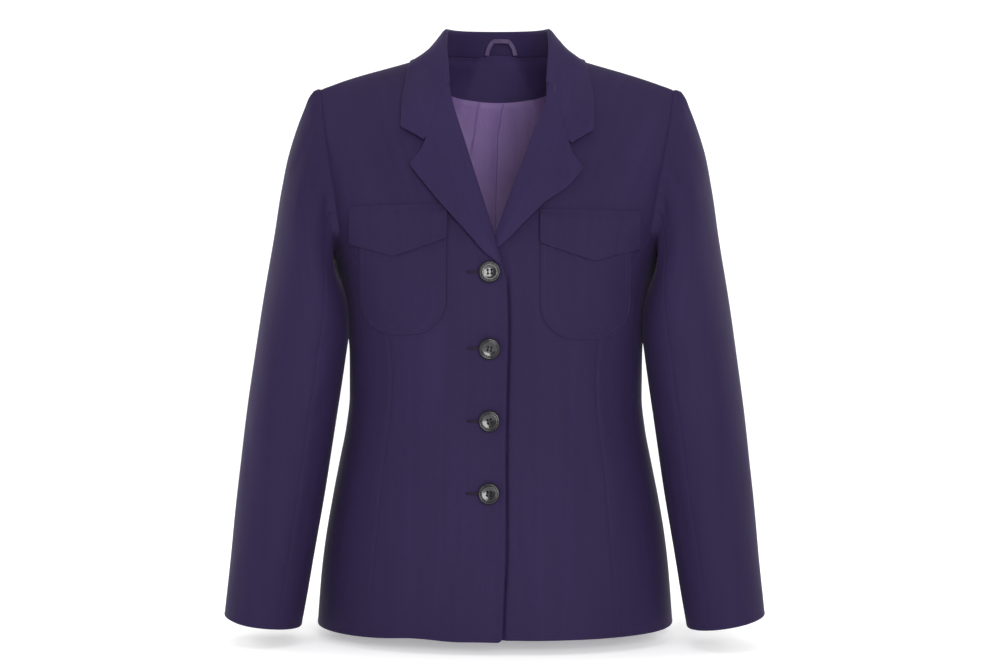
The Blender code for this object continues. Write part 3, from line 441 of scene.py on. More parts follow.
def shellMesh(name, outer, inner, toSide, materials, innerSlot=0):
    rows, columns = outer.shape[:2]
    index = np.arange(rows * columns).reshape(rows, columns)
    quads = np.stack([index[:-1, :-1], index[:-1, 1:], index[1:, 1:], index[1:, :-1]], -1).reshape(-1, 4)
    rim = np.concatenate([index[0], index[1:, -1], index[-1, -2::-1], index[-2:0:-1, 0]])
    after = np.roll(rim, -1)
    count = rows * columns
    sides = np.stack([after, rim, rim + count, after + count], -1)
    faces = np.concatenate([quads, quads[:, ::-1] + count, sides])
    centre = rows // 2, columns // 2
    dRow = outer[centre[0] + 1, centre[1]] - outer[centre]
    dColumn = outer[centre[0], centre[1] + 1] - outer[centre]
    if np.cross(dColumn, dRow) @ (outer[centre] - inner[centre]) < 0:
        faces = faces[:, ::-1]
    mesh = bpy.data.meshes.new(name)
    points = np.concatenate([outer.reshape(-1, 3), inner.reshape(-1, 3)])
    mesh.from_pydata(points.tolist(), [], faces.tolist())
    for material in materials:
        mesh.materials.append(material)
    if np.any(innerSlot):
        slots = np.zeros(len(faces), np.int32)
        slots[len(quads):2 * len(quads)] = np.broadcast_to(innerSlot, (rows - 1, columns - 1)).ravel()
        mesh.polygons.foreach_set("material_index", slots)
    flat = np.stack([toSide["left"], toSide["start"]], -1).reshape(-1, 2)
    layFlat(mesh, np.concatenate([flat, flat]))
    mesh.shade_smooth()
    mesh.update()
    return mesh


sheetRows = []
signs = {"right": -1, "left": 1}  # of x, on the wearer's right and left
drops = {"right": 0, "left": form["leftDrop"]}
hang = {  # cloth that hangs by itself is not the same on both sides
    "shoulderRise": (2.4 * mm, 1.2 * mm),  # wearer's right and left, outer half of the shoulder
    "hemDrop": 2.6 * mm, "cuffDrop": 2.4 * mm,  # wearer's right
    "neckWide": (2.2 * mm, 3.8 * mm),  # wearer's left: beside the neck, and more under the gorge
    "neckClose": 2.0 * mm,  # wearer's right
    # where each begins, outwards (Aside), and up or down from the neck point
    "shoulderAside": (105, 75), "shoulderUp": (-150, 90),
    "hemAside": (30, 130), "hemDown": (430, 160),
    "cuffAside": (215, 60), "cuffDown": (500, 110),
    "neckAside": (10, 40), "neckEnds": (60, 55), "neckAhead": (-40, 40),
    "wideUp": (-190, 70), "lessWideUp": (0, 35), "underGorge": (-64, 22), "closeAt": (-24, 30),
}


def settled(points):
    x, y, z = points[..., 0], points[..., 1], points[..., 2]
    aside = np.abs(x)
    shoulder = rising(aside, *hang["shoulderAside"]) * rising(z, *hang["shoulderUp"])
    rise = np.where(x < 0, *hang["shoulderRise"]) * shoulder
    drop = hang["hemDrop"] * rising(-x, *hang["hemAside"]) * rising(-z, *hang["hemDown"])
    drop = drop + hang["cuffDrop"] * rising(-x, *hang["cuffAside"]) * rising(-z, *hang["cuffDown"])
    nearNeck = rising(aside, *hang["neckAside"]) * (1 - rising(aside, *hang["neckEnds"]))
    nearNeck = nearNeck * rising(-y, *hang["neckAhead"])
    wide = hang["neckWide"][0] * (1 - 0.8 * rising(z, *hang["lessWideUp"])) * rising(z, *hang["wideUp"])
    wide = wide + hang["neckWide"][1] * bump(z, *hang["underGorge"])
    close = hang["neckClose"] * bump(z, *hang["closeAt"])
    return points + np.stack([nearNeck * np.where(x > 0, wide, close), 0 * x, rise - drop], -1)


def meshOf(name, bm, material=None):
    mesh = bpy.data.meshes.new(name)
    bm.to_mesh(mesh)
    bm.free()
    if material:
        mesh.materials.append(material)
    return mesh


def evaluated(thing):  # its mesh with the modifiers done
    bpy.context.view_layer.update()
    return bpy.data.meshes.new_from_object(thing.evaluated_get(bpy.context.evaluated_depsgraph_get()))


def ringOf(bm, centre, across, up, radius, sides):  # vertices round a point, in the plane of two directions
    return [bm.verts.new(centre + radius * (across * math.cos(a) + up * math.sin(a)))
            for a in np.arange(sides) * 2 * math.pi / sides]


def join(bm, lower, upper, closed=True):  # faces between two rings or rows of vertices; one may be a point
    count = max(len(lower), len(upper))
    for k in range(count if closed else count - 1):
        n = (k + 1) % count
        if len(lower) == 1:
            bm.faces.new((lower[0], upper[n], upper[k]))
        elif len(upper) == 1:
            bm.faces.new((lower[k], lower[n], upper[0]))
        else:
            bm.faces.new((lower[k], lower[n], upper[n], upper[k]))


def linked(name, data):
    thing = bpy.data.objects.new(name, data)
    bpy.context.scene.collection.objects.link(thing)
    return thing


def addPiece(name, mesh, stoodFor=None):  # on the one body, in place of a CAD node or beside them
    piece = linked(name, mesh)
    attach(piece, "root")
    if stoodFor:
        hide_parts(stoodFor)
    return piece


def clothPiece(part, middle, thickness, sides, outward, materials,
               innerExtra=0.0, innerSlot=0, slanting=False):
    name = part + "_cloth"
    if part.endswith("_right"):  # built on the left, and mirrored
        middle, outward = middle * [-1, 1, 1], outward * [-1, 1, 1]
    middle = settled(middle)
    outer, inner, toSide = skins(middle, thickness, sides, outward, innerExtra)
    mesh = shellMesh(name, outer, inner, toSide, materials, innerSlot)
    piece = addPiece(name, mesh, part)
    a, b = middle[1:, 1:] - middle[:-1, :-1], middle[1:, :-1] - middle[:-1, 1:]
    area = float(np.linalg.norm(np.cross(a, b), axis=-1).sum() / 2)
    wide, long = float(toSide["left"].max()), float(toSide["start"].max())
    if slanting:  # its rows run at a slant, so its width is taken square to its left side
        out, way = middle - middle[0, 0], unit(middle[-1, 0] - middle[0, 0])
        out = out - (out @ way)[..., None] * way
        wide = float(np.linalg.norm(out, axis=-1).max())
    sheetRows.append((name, round(wide * 1000), round(long * 1000), round(area, 4)))


# materials

def linear(code):  # sRGB hex to linear
    channels = [int(code[k:k + 2], 16) / 255 for k in (1, 3, 5)]
    return tuple(c / 12.92 if c <= 0.04045 else ((c + 0.055) / 1.055) ** 2.4 for c in channels) + (1,)


def node(tree, kind, settings=None, **inputs):  # adds a node; an input is a value or another's socket
    made = tree.nodes.new(kind)
    for key, value in (settings or {}).items():
        setattr(made, key, value)
    for key, value in inputs.items():
        place = int(key[1:]) if key[0] == "_" else key.replace("_", " ")
        socket = made.inputs[place]
        if isinstance(value, bpy.types.NodeSocket):
            tree.links.new(value, socket)
        else:
            socket.default_value = value
    return made


def newMaterial(name):
    material = bpy.data.materials.new(name)
    material.use_nodes = True
    material.node_tree.nodes.clear()
    return material, material.node_tree


def finishSurface(tree, **shader):
    surface = node(tree, "ShaderNodeBsdfPrincipled", **shader)
    node(tree, "ShaderNodeOutputMaterial", Surface=surface.outputs[0])


def mapped(tree, space, scale):
    source = node(tree, "ShaderNodeTexCoord").outputs[space]
    return node(tree, "ShaderNodeMapping", Vector=source, Scale=scale).outputs[0]


suitingLooks = {
    "dark": "#1E1531", "light": "#281E40",
    "thread": 0.9,  # millimetres; the real weave is near 0.4, too fine to show at this size
    "slub": 14,  # how much longer than wide a thread's thick places are
}


def wovenSuiting(name, dark, light, bump=0.35):  # plain-woven wool blend: matt, with a faint cross grain
    material, tree = newMaterial(name)
    fine = 1000 / suitingLooks["thread"]
    long = fine / suitingLooks["slub"]
    warp, weft = [node(tree, "ShaderNodeTexNoise", Vector=mapped(tree, "UV", scale), Scale=1.0, Detail=1.0)
                  for scale in ((fine, long, 1), (long, fine, 1))]
    cross = node(tree, "ShaderNodeMath", {"operation": "ADD"}, _0=warp.outputs[0], _1=weft.outputs[0])
    wave = fine / math.pi
    ends, picks = [node(tree, "ShaderNodeTexWave", {"bands_direction": way}, Scale=1.0,
                        Vector=mapped(tree, "UV", scale))
                   for way, scale in (("X", (wave, 0, 0)), ("Y", (0, wave, 0)))]
    weave = node(tree, "ShaderNodeMath", {"operation": "MULTIPLY"}, _0=ends.outputs["Fac"],
                 _1=picks.outputs["Fac"])
    height = node(tree, "ShaderNodeMath", {"operation": "MULTIPLY_ADD"}, _0=weave.outputs[0], _1=0.35,
                  _2=cross.outputs[0])
    broad = node(tree, "ShaderNodeTexNoise", Vector=mapped(tree, "Object", (7, 7, 3)), Scale=1.0, Detail=3.0)
    streaks = node(tree, "ShaderNodeTexNoise", Vector=mapped(tree, "UV", (120, 5, 1)), Scale=1.0, Detail=2.0)
    drift = node(tree, "ShaderNodeMath", {"operation": "MULTIPLY_ADD"}, _0=streaks.outputs[0], _1=0.5,
                 _2=broad.outputs[0])
    shade = node(tree, "ShaderNodeMath", {"operation": "MULTIPLY_ADD"}, _0=cross.outputs[0], _1=0.55,
                 _2=drift.outputs[0])
    tone = node(tree, "ShaderNodeMapRange", Value=shade.outputs[0], From_Min=0.85, From_Max=1.75)
    colour = node(tree, "ShaderNodeMix", {"data_type": "RGBA"}, _0=tone.outputs[0], _6=linear(dark),
                  _7=linear(light))
    rough = node(tree, "ShaderNodeMapRange", Value=cross.outputs[0], From_Min=0.6, From_Max=1.4, To_Min=0.66,
                 To_Max=0.8)
    relief = node(tree, "ShaderNodeBump", Strength=bump, Distance=0.25 * mm, Height=height.outputs[0])
    finishSurface(tree, Base_Color=colour.outputs[2], Roughness=rough.outputs[0], Normal=relief.outputs[0],
                  Sheen_Weight=0.1, Sheen_Roughness=0.35, Sheen_Tint=linear("#B9AECB"),
                  Specular_IOR_Level=0.12)
    return material


def satinLining(name, dark, light):  # warp-faced acetate satin: smooth floats catch the light lengthways
    material, tree = newMaterial(name)
    floats, broad = [node(tree, "ShaderNodeTexNoise", Vector=mapped(tree, space, scale), Scale=1.0,
                          Detail=2.0)
                     for space, scale in (("UV", (1600, 60, 1)), ("Object", (18, 18, 9)))]
    both = node(tree, "ShaderNodeMath", {"operation": "ADD"}, _0=floats.outputs[0], _1=broad.outputs[0])
    tone = node(tree, "ShaderNodeMapRange", Value=both.outputs[0], From_Min=0.6, From_Max=1.4)
    colour = node(tree, "ShaderNodeMix", {"data_type": "RGBA"}, _0=tone.outputs[0], _6=linear(dark),
                  _7=linear(light))
    relief = node(tree, "ShaderNodeBump", Strength=0.08, Distance=0.2 * mm, Height=floats.outputs[0])
    finishSurface(tree, Base_Color=colour.outputs[2], Normal=relief.outputs[0], Roughness=0.45,
                  Sheen_Weight=0.04, Sheen_Roughness=0.3, Sheen_Tint=linear("#D9C8E2"),
                  Specular_IOR_Level=0.16, Anisotropic=0.4)
    return material


def castResin(name, smoothest, roughest, specular):  # cast polyester button stock: black, finely scuffed
    material, tree = newMaterial(name)
    cloud, scuff = [node(tree, "ShaderNodeTexNoise", Vector=mapped(tree, "Object", scale), Scale=1.0,
                         Detail=detail)
                    for scale, detail in (((260, 260, 260), 3.0), ((2600, 500, 900), 2.0))]
    colour = node(tree, "ShaderNodeMix", {"data_type": "RGBA"}, _0=cloud.outputs[0], _6=linear("#08080B"),
                  _7=linear("#1B1A20"))
    rough = node(tree, "ShaderNodeMapRange", Value=scuff.outputs[0], From_Min=0.3, From_Max=0.8,
                 To_Min=smoothest, To_Max=roughest)
    finishSurface(tree, Base_Color=colour.outputs[2], Roughness=rough.outputs[0], IOR=1.52,
                  Coat_Weight=0.15, Coat_Roughness=smoothest, Specular_IOR_Level=specular)
    return material


def sewingThread(name, dark, light):  # spun polyester: two plies twisted, a little brighter than cloth
    material, tree = newMaterial(name)
    twist = node(tree, "ShaderNodeTexWave", {"bands_direction": "DIAGONAL"}, Scale=1.0,
                 Vector=mapped(tree, "Object", (900, 900, 900)))
    colour = node(tree, "ShaderNodeMix", {"data_type": "RGBA"}, _0=twist.outputs["Fac"], _6=linear(dark),
                  _7=linear(light))
    relief = node(tree, "ShaderNodeBump", Strength=0.3, Distance=0.1 * mm, Height=twist.outputs["Fac"])
    finishSurface(tree, Base_Color=colour.outputs[2], Normal=relief.outputs[0], Roughness=0.6,
                  Sheen_Weight=0.05, Specular_IOR_Level=0.2)
    return material


suiting = wovenSuiting("aubergine plain-woven suiting", suitingLooks["dark"], suitingLooks["light"])
lapelSuiting = wovenSuiting("aubergine suiting, fused and pressed", "#201734", "#2B2045", bump=0.28)
satin = satinLining("mauve acetate satin", "#644C7C", "#765E93")
# a darker copy of the lining's satin: painted shade on the hanger loop, which hangs in the shade of the back
# neck
loopSatinPaintedShade = satinLining("mauve acetate satin, folded, darkened as painted shade", "#3A2C4C", "#48395C")
resin = castResin("black cast resin, turned and tumbled", 0.1, 0.24, 0.5)
mattResin = castResin("black cast resin, matt edge", 0.55, 0.7, 0.12)
# a lighter copy of the suiting: painted light on the facing, which lies in the shade inside the neck
facingSuitingPaintedLight = wovenSuiting("aubergine suiting, facing painted lighter against its shade", "#2A2041", "#372C54", bump=0.28)
thread = sewingThread("aubergine sewing thread", "#1D1530", "#2F2546")
# dark thread for the buttonholes and the buttons, and also the painted shade of the buttonhole slits
darkThreadAndSlitShade = sewingThread("dark purple buttonhole twist and painted slit shade", "#0D0916", "#1A1328")
print("materials:", len(bpy.data.materials))


# fronts, sides and back

front = {
    "step": 4 * mm,
    "overDrop": 1.8 * mm,  # the front that laps over hangs lower at the hem
    "facingWidth": 78 * mm,  # self facing inside the front edge, then lining
    "ripple": 1.6 * mm,  # of the hem on the front that laps over
    "hemDown": (470, 165), "rippleDown": (596, 42), "rippleAt": [(84, 26), (40, 20)],
    "dropWidth": 90 * mm,
    # the lap's edge stands off, and the cloth beside it is pressed in
    "edgeLift": 1.3 * mm, "edgeLiftReach": 7 * mm, "edgeLiftDown": (226, 24),
    "pressed": 2.6 * mm, "pressedAt": (0, 2.3), "pressedDown": (224, 14), "pressedBeside": 1.1 * mm,
    "underEnds": (-46, 22), "underDown": (168, 30),  # how far the front beneath is sunk
    "underDip": 1.9 * mm,  # more room for the lapel that runs down behind the lap
    "behindLap": [(0, 6), (-242, 8), (204, 8)], "behindBy": 2.5 * mm,
    "wrapRoom": 2 * mm, "wrapUp": (-225, 20), "wrapEnds": (0, 10),  # the lapel wraps the edge
    "breakUp": (-236, 14),  # where the edge ends and the roll begins
    "corner": 5 * mm,
    "closer": (24 * mm, 43 * mm, 0.9 * mm),  # columns where the other front's edge lies
    "sideTop": [(-224, -205), (-236, -229), (-219, -195)],  # a side panel's top: front, middle, back
    "seams": {"front": 0.42, "back": 0.75, "top": 0.6},  # how strongly each draws the cloth in
}


def seamTurn(column, level):
    return turnAt(read(panelSeams, column, level), level, back=column == "back")


def rollLine(level, over):  # front edge, then the roll line up to the gorge, then the neck seam
    (neckX, _), (gorgeX, gorgeZ) = form["neckPoint"], form["gorge"]
    crossing = lap["level"][-1]
    if level > gorgeZ:
        return neckX + (gorgeX - neckX) * level / gorgeZ
    if level < crossing:
        return -float(read(lap, "over" if over else "under", level))
    shift = form["rollShift"][0 if over else 1] * min((gorgeZ - level) / (60 * mm), 1)
    share = (level - crossing) / (gorgeZ - crossing)
    bow = form["rollBow"][0 if over else 1] * 4 * share * (1 - share)
    return gorgeX * share + (-shift if over else shift) + bow


def rowLevels(rows, first, last):
    at = np.arange(first, last + rowStep / 2, rowStep)
    knots = np.arange(float(len(rows["seam"])))
    return smooth(knots, rows["inner"], at), smooth(knots, rows["seam"], at)


def lowerPanel(rows, starts, seam, columns):
    share = np.linspace(0, 1, columns)
    inner, outer = rowLevels(rows, 0, waistRow)
    turns = starts(inner)[:, None] * (1 - share) + seamTurn(seam, outer)[:, None] * share
    return turns, inner[:, None] * (1 - share) + outer[:, None] * share


def upperPanel(rows, turns, levels, left, seam, top):  # up to the shoulder, beside the armhole
    inner, outer = rowLevels(rows, waistRow, len(rows["seam"]) - 1)
    foot = rows["seam"][footRow]
    edge = np.where(outer < foot, read(panelSeams, seam, outer), read(armhole, seam, outer))
    low = bodyPoint(turns[-1], levels[-1])[:, [0, 2]]
    upper = coons(np.stack([left(inner), inner], -1), np.stack([edge, outer], -1), bow(low), bow(top))[1:]
    turn = turnAt(upper[..., 0], upper[..., 1], back=seam == "back")
    return bodyFields(np.concatenate([turns, turn]), np.concatenate([levels, upper[..., 1]]))


def frontFields(over, columns=17):
    def edge(levels):
        back = front["wrapRoom"] * rising(levels, *front["wrapUp"])
        back = back * rising(form["gorge"][1] - levels, *front["wrapEnds"])
        return np.array([rollLine(z, over) for z in levels]) + back

    turns, levels = lowerPanel(frontRows, lambda z: turnAt(edge(z), z), "front", columns)
    reach = np.linspace(form["neckPoint"][0], form["shoulderTip"][0], columns)
    return upperPanel(frontRows, turns, levels, edge, "front", np.stack([reach, shoulderHeight(reach)], -1))


def backFields(neckColumns=13, shoulderColumns=12):  # centre to side; its top is neck seam, then shoulder
    neckX, tipX = form["neckPoint"][0], form["shoulderTip"][0]
    turns, levels = lowerPanel(backRows, lambda z: 2 + 0 * z, "back", neckColumns + shoulderColumns)
    neck = neckX * np.sin(np.linspace(0, math.pi / 2, neckColumns))
    shoulder = np.linspace(neckX, tipX, shoulderColumns + 1)[1:]
    top = np.concatenate([np.stack([neck, backNeckCurve(neck)], -1),
                          np.stack([shoulder, shoulderHeight(shoulder)], -1)])
    return upperPanel(backRows, turns, levels, lambda z: 0 * z, "back", top)


def backNeckCurve(x):
    return form["backNeck"] * (1 - (np.minimum(x, form["neckPoint"][0]) / form["neckPoint"][0]) ** 2)


def bothSides(half):  # a grid of fields from the centre out becomes one from side to side
    other = half[:, :0:-1].copy()
    other[..., 0] *= -1
    other[..., 3] = 4 - other[..., 3]
    return np.concatenate([other, half], axis=1)


def sideFields(columns=13):
    at = np.arange(0, footRow + rowStep / 2, rowStep)
    knots = np.arange(float(footRow + 1))
    lower = frontRows["seam"][:waistRow]
    ahead, middle, behind = [smooth(knots, np.append(lower, np.array(ends) * mm), at)[:, None]
                             for ends in front["sideTop"]]
    share = np.linspace(0, 1, columns)
    levels = ahead * (1 - share) + behind * share
    levels = levels - 4 * share * (1 - share) * ((ahead + behind) / 2 - middle)
    turns = seamTurn("front", ahead) * (1 - share) + seamTurn("back", behind) * share
    return bodyFields(turns, levels)


def innerFinish(level, across=None):  # lining inside, and self fabric on the turned hem and the facing
    lined = level[:-1, :-1] > level.min() + cloth["turnUp"]
    return lined if across is None else lined & (across[:-1, :-1] > front["facingWidth"])


def turnUp(fromHem):
    return cloth["turnUpStep"] * (1 - rising(fromHem - cloth["turnUp"], *cloth["turnUpEnd"]))


def behindLap(x, level):  # 1 where the lower lapel end has passed behind the front that laps over
    aside, above, below = front["behindLap"]
    return (rising(read(lap, "over", level) + front["behindBy"] - x, *aside) * rising(level, *above)
            * rising(-level, *below))


def panel(part, side, middle, turn, level, lined, sides):  # hemmed below, and sewn in at its top
    name, materials = (f"{part}_{side}", [suiting, satin]) if side else (part, [suiting])
    clothPiece(name, middle, cloth["suiting"],
               [("hem", "start"), *sides, ("seam", "end", front["seams"]["top"])], bodyNormal(turn, level),
               materials, innerExtra=turnUp(level - level.min()), innerSlot=lined)


def makeFront(side, over):
    def columns(length):
        return merged(stations(length, front["step"]), np.arange(*front["closer"]))

    fields = refine(frontFields(over), (front["step"], front["step"]), (None, None if over else columns))
    turn, level = fields[..., 3], fields[..., 4]
    x = np.abs(fields[..., 0]) * np.sign(turn)
    if over:
        hem, low = rising(-level, *front["hemDown"]), rising(-level, *front["rippleDown"])
        wave = bump(x, *front["rippleAt"][0]) - 0.5 * bump(x, *front["rippleAt"][1])
        level = level - front["overDrop"] * hem * np.clip(1 - x / front["dropWidth"], 0, 1)
        level = level + front["ripple"] * wave * low
        fromEdge = x + read(lap, "over", level)
        sink = -front["edgeLift"] * np.exp(-fromEdge / front["edgeLiftReach"])
        sink = sink * rising(-level, *front["edgeLiftDown"])
    else:
        sink = (cloth["suiting"] + cloth["layGap"]) * growing(-x, *front["underEnds"])
        sink = sink * growing(-level, *front["underDown"]) + front["underDip"] * behindLap(x, level)
        pressed = bump(x - read(lap, "over", level) - front["pressedBeside"], *front["pressedAt"])
        sink = sink + front["pressed"] * pressed * rising(-level, *front["pressedDown"])
    lift = bodyFolds(signs[side] * turn, level) - sink - cloth["suiting"] / 2
    middle = roundCorner(onBody(turn, level, lift), 0, 0, front["corner"])
    belowBreak = 1 - rising(level[:, 0], *front["breakUp"])[:, None]
    panel("front", side, middle, turn, level, innerFinish(level, x),
          [("edge", "left", np.maximum(belowBreak, 0.6)), ("seam", "right", front["seams"]["front"])])


def makeSide(side):
    fields = refine(sideFields(), (front["step"], front["step"]))
    turn, level = fields[..., 3], fields[..., 4]
    middle = onBody(turn, level, bodyFolds(signs[side] * turn, level) - cloth["suiting"] / 2)
    panel("side", side, middle, turn, level, innerFinish(level),
          [("seam", "left", front["seams"]["front"]), ("seam", "right", front["seams"]["back"])])


def makeBack():
    fields = refine(bothSides(backFields()), (front["step"], 4.2 * mm))
    turn, level = fields[..., 3], fields[..., 4]
    middle = onBody(turn, level, bodyFolds(turn, level) - cloth["suiting"] / 2)
    panel("back", None, middle, turn, level, 0,
          [("seam", end, front["seams"]["back"]) for end in ("left", "right")])


for side, over in (("right", True), ("left", False)):
    makeFront(side, over)
    makeSide(side)
makeBack()
print("fronts, sides and back")


# sleeves

sleeve = {
    "rings": table("topX topY topZ underX underY underZ halfDepth kept", [  # kept: armhole's own shape, ‰
        (206.5, 0, -41.5, 183.3, 0, -230.3, 59, 957), (212, 0, -47.5, 184, -1.7, -235.4, 61, 870),
        (217.3, -1, -61, 181.4, -5.5, -242.8, 62, 742), (224.6, -3, -81, 177.2, -12, -251.2, 62.5, 525),
        (234, -6, -112.7, 171.5, -20.5, -260.4, 62, 265), (240.5, -10, -153, 165.4, -28.5, -275, 61.5, 60),
        (247.5, -15, -206, 162.2, -34.5, -293.4, 60.5, 0), (256.1, -21, -262.7, 161.6, -37.5, -314, 59, 0),
        (264.5, -27, -322, 165, -38.5, -341, 57, 0), (273, -36, -393.3, 174, -43, -404, 54.5, 0),
        (280, -44, -467.8, 184.4, -49, -478, 51, 0), (287, -51, -550.3, 197.8, -55, -560, 47, 0),
        (292, -56, -597.9, 205.3, -58, -607, 44.5, 0), (293.5, -58, -617.5, 209.8, -60, -632.7, 43.5, 0),
    ]),
    "armholeHalfDepth": 57.5 * mm,
    "tucked": 1.3 * mm, "sunk": 0.5 * mm,  # its seam lies just under the body's
    "halfRound": 170 * mm,  # from its top to its underside, round the upper sleeve
    "frontSeamRow": footRow + 1,  # rows of the panels where the two sleeve seams meet the armhole
    "backSeamRow": footRow + 3,
    "pucker": 0.45 * mm,  # ease in the sleeve head, just outside its seam
    "puckerReach": 15 * mm, "puckerWaves": (2.15 * mm, 3.4 * mm), "puckerEnds": (-150, 60),
    "foldsFrom": (4, 30), "freeFrom": (1.5, 9), "sunkAt": (0, 1.6),  # from the armhole seam
    "axisAside": 40 * mm,  # from a piece's middle to a line inside the sleeve, to tell its outer side
    "headTape": 34 * mm,  # inside the armhole: self cloth, the lining starts below it
    "seams": [("seam", "start", 0.8), ("seam", "left", 0.35), ("seam", "right", 0.35), ("hem", "end")],
    "step": 4.2 * mm,
}


def armholeLoop():  # fields from the shoulder tip down the front, under the arm and up the back
    foot = round(footRow / rowStep)
    ahead, behind = frontFields(True)[::-1, -1], backFields()[foot:-1, -1]
    ahead = ahead[:len(ahead) - foot]
    under = sideFields()[-1, 1:-1]
    loop = np.concatenate([ahead, under, behind])
    travel = travelled(np.concatenate([loop, loop[:1]])[:, :3])
    frontSeam = travel[len(ahead) - 1 - round((sleeve["frontSeamRow"] - footRow) / rowStep)]
    backSeam = travel[len(ahead) + len(under) + round((sleeve["backSeamRow"] - footRow) / rowStep)]
    return loop, travel, frontSeam, backSeam


def sleeveFields(at, sign):  # at: places round the armhole, as distances from the shoulder tip
    loop, travel, _, _ = armholeLoop()
    total = travel[-1]
    knots = np.concatenate([travel[:-1] - total, travel[:-1], travel[:-1] + total])
    onLoop = through(knots, np.tile(loop, (3, 1)), at)
    points, turn, level = onLoop[:, :3], onLoop[:, 3], onLoop[:, 4]
    seat = bodyNormal(turn, level)  # where the body's own cloth lies at the seam
    seatShift = seat * (bodyFolds(sign * turn, level) - cloth["suiting"] / 2)[:, None]
    down = travel[np.argmin(loop[:, 2])]
    run = np.mod(at, total)
    angle = np.where(run <= down, run / down, 1 + (run - down) / (total - down)) * math.pi
    top, chord = loop[0, [0, 2]], loop[np.argmin(loop[:, 2]), [0, 2]] - loop[0, [0, 2]]
    across = np.array([-chord[1], chord[0]]) / np.linalg.norm(chord)
    share = (points[:, [0, 2]] - top) @ chord / (chord @ chord)
    swell = (points[:, [0, 2]] - top) @ across
    rings = [points - [sleeve["tucked"], 0, 0]]
    for k in range(len(sleeve["rings"]["topX"])):
        ring = {name: column[k] for name, column in sleeve["rings"].items()}
        kept = ring["kept"]
        high = np.array([ring["topX"], ring["topZ"]])
        fall = np.array([ring["underX"], ring["underZ"]]) - high
        square = np.array([-fall[1], fall[0]]) / np.linalg.norm(fall)
        part = kept * share + (1 - kept) * (1 - np.cos(angle)) / 2
        y = ring["topY"] * (1 - part) + ring["underY"] * part + ring["halfDepth"] * (
            kept * points[:, 1] / sleeve["armholeHalfDepth"] - (1 - kept) * np.sin(angle))
        flat = high + part[:, None] * fall + kept * swell[:, None] * square
        rings.append(np.stack([flat[:, 0], y, flat[:, 1]], axis=-1))
    around = np.where(angle > math.pi, angle - 2 * math.pi, angle) / math.pi * sleeve["halfRound"]
    rings = np.array(rings)
    around = np.broadcast_to(around, rings.shape[:2])[..., None]
    return np.concatenate([rings, around], axis=-1), seatShift, seat


def makeSleeve(side):
    _, travel, frontSeam, backSeam = armholeLoop()
    seamSpans = {"under": (frontSeam, backSeam), "top": (backSeam - travel[-1], frontSeam)}
    for part, (first, last) in seamSpans.items():
        at = first + stations(last - first, sleeve["step"])
        coarse, seatShift, seat = sleeveFields(at, signs[side])
        knots = rowPlaces(coarse)
        fields = through(knots, coarse, stations(knots[-1], sleeve["step"]))
        skin, around, level = fields[..., :3], fields[..., 3], fields[..., 2]
        aside = sleeve["axisAside"] * (1 if part == "top" else -1)
        axis = skin.mean(axis=1, keepdims=True) - [aside, 0, 0]
        normal = gridNormals(skin, skin - axis)
        toSide = sideDistances(skin)
        fromSeam, fromCuff = toSide["start"], toSide["end"]
        head = np.exp(-fromSeam / sleeve["puckerReach"]) * rising(-np.abs(around), *sleeve["puckerEnds"])
        short, long = sleeve["puckerWaves"]
        ease = np.sin(around / short) + 0.6 * np.sin(around / long + 1)
        folds = foldHeight(around, level, "sleeve" + side.capitalize())
        folds = folds + waviness(np.abs(around), level, 9, 0.4 * mm)
        lift = folds * rising(fromSeam, *sleeve["foldsFrom"]) + sleeve["pucker"] * ease * head
        lift = lift - cloth["suiting"] / 2
        lined = (fromCuff > cloth["turnUp"]) & (fromSeam > sleeve["headTape"])
        free = rising(fromSeam, *sleeve["freeFrom"])[..., None]
        sunk = sleeve["sunk"] * bump(fromSeam, *sleeve["sunkAt"])[..., None]
        middle = skin + normal * lift[..., None] * free + seatShift * (1 - free) - seat * sunk
        clothPiece(f"sleeve_{part}_{side}", middle, cloth["suiting"], sleeve["seams"], normal,
                   [suiting, satin], innerExtra=turnUp(fromCuff), innerSlot=lined[:-1, :-1])


for side in signs:
    makeSleeve(side)
print("sleeves")


# collar and lapels

collar = {
    "stations": table("seamX seamZ foldX foldY foldZ edgeX edgeY edgeZ hollow", [  # centre back to gorge
        (0, 12, 0, 75, 41, 0, 91, -8, 300), (22, 10.9, 20, 73.5, 40.8, 28, 90, -8.5, 300),
        (42, 8.2, 38, 65, 39.5, 54, 83, -10, 300), (58, 4.8, 50, 49, 37, 79, 66, -12, 300),
        (69, 1.8, 57, 31, 34.5, 93, 40, -12, 300), (75, 0, 58, 12, 30, 98, 10, -7, 300),
        (71.5, -7, 57.5, -5, 18, 100, -18, -17.5, 200), (66, -18, 57, -21, 2, 103, -38, -44, 100),
        (60, -30, 55.5, -36, -18, 104, -54, -68, 0), (54.5, -41, 54, -50, -41, 104, -70, -92, 0),
    ]),
    "neckStation": 5,
    "end": [(54, -42), (60.5, -66.5), (67, -91), (74, -114), (89, -103), (104, -92)],  # seam, then notch
    "endBend": [0, 0, 0, 0, 0, 0, 0, 0.12, 0.4, 1.0],
    "air": [0, 0.3, 0.7, 1, 1, 1],  # under the fall on the chest, as shares of the lapel's
    "foldHeight": 2.6 * mm, "foldHalfWidth": 1.9 * mm,
    "clearance": (3.4 * mm, 3.2 * mm, 1.2 * mm),  # at the fold, further down and at the edge
    "notch": 0.6,  # where seam ends and notch begins, along the end
    "corner": 3.2 * mm, "gorgeDip": 0.12,
    "step": 4 * mm, "acrossStep": 3.6 * mm,
    "atFold": (-7, 7, 0.9),  # closer columns over the fold, in millimetres
    "freeFrom": (44, 20),  # where the fall is free to wave
}
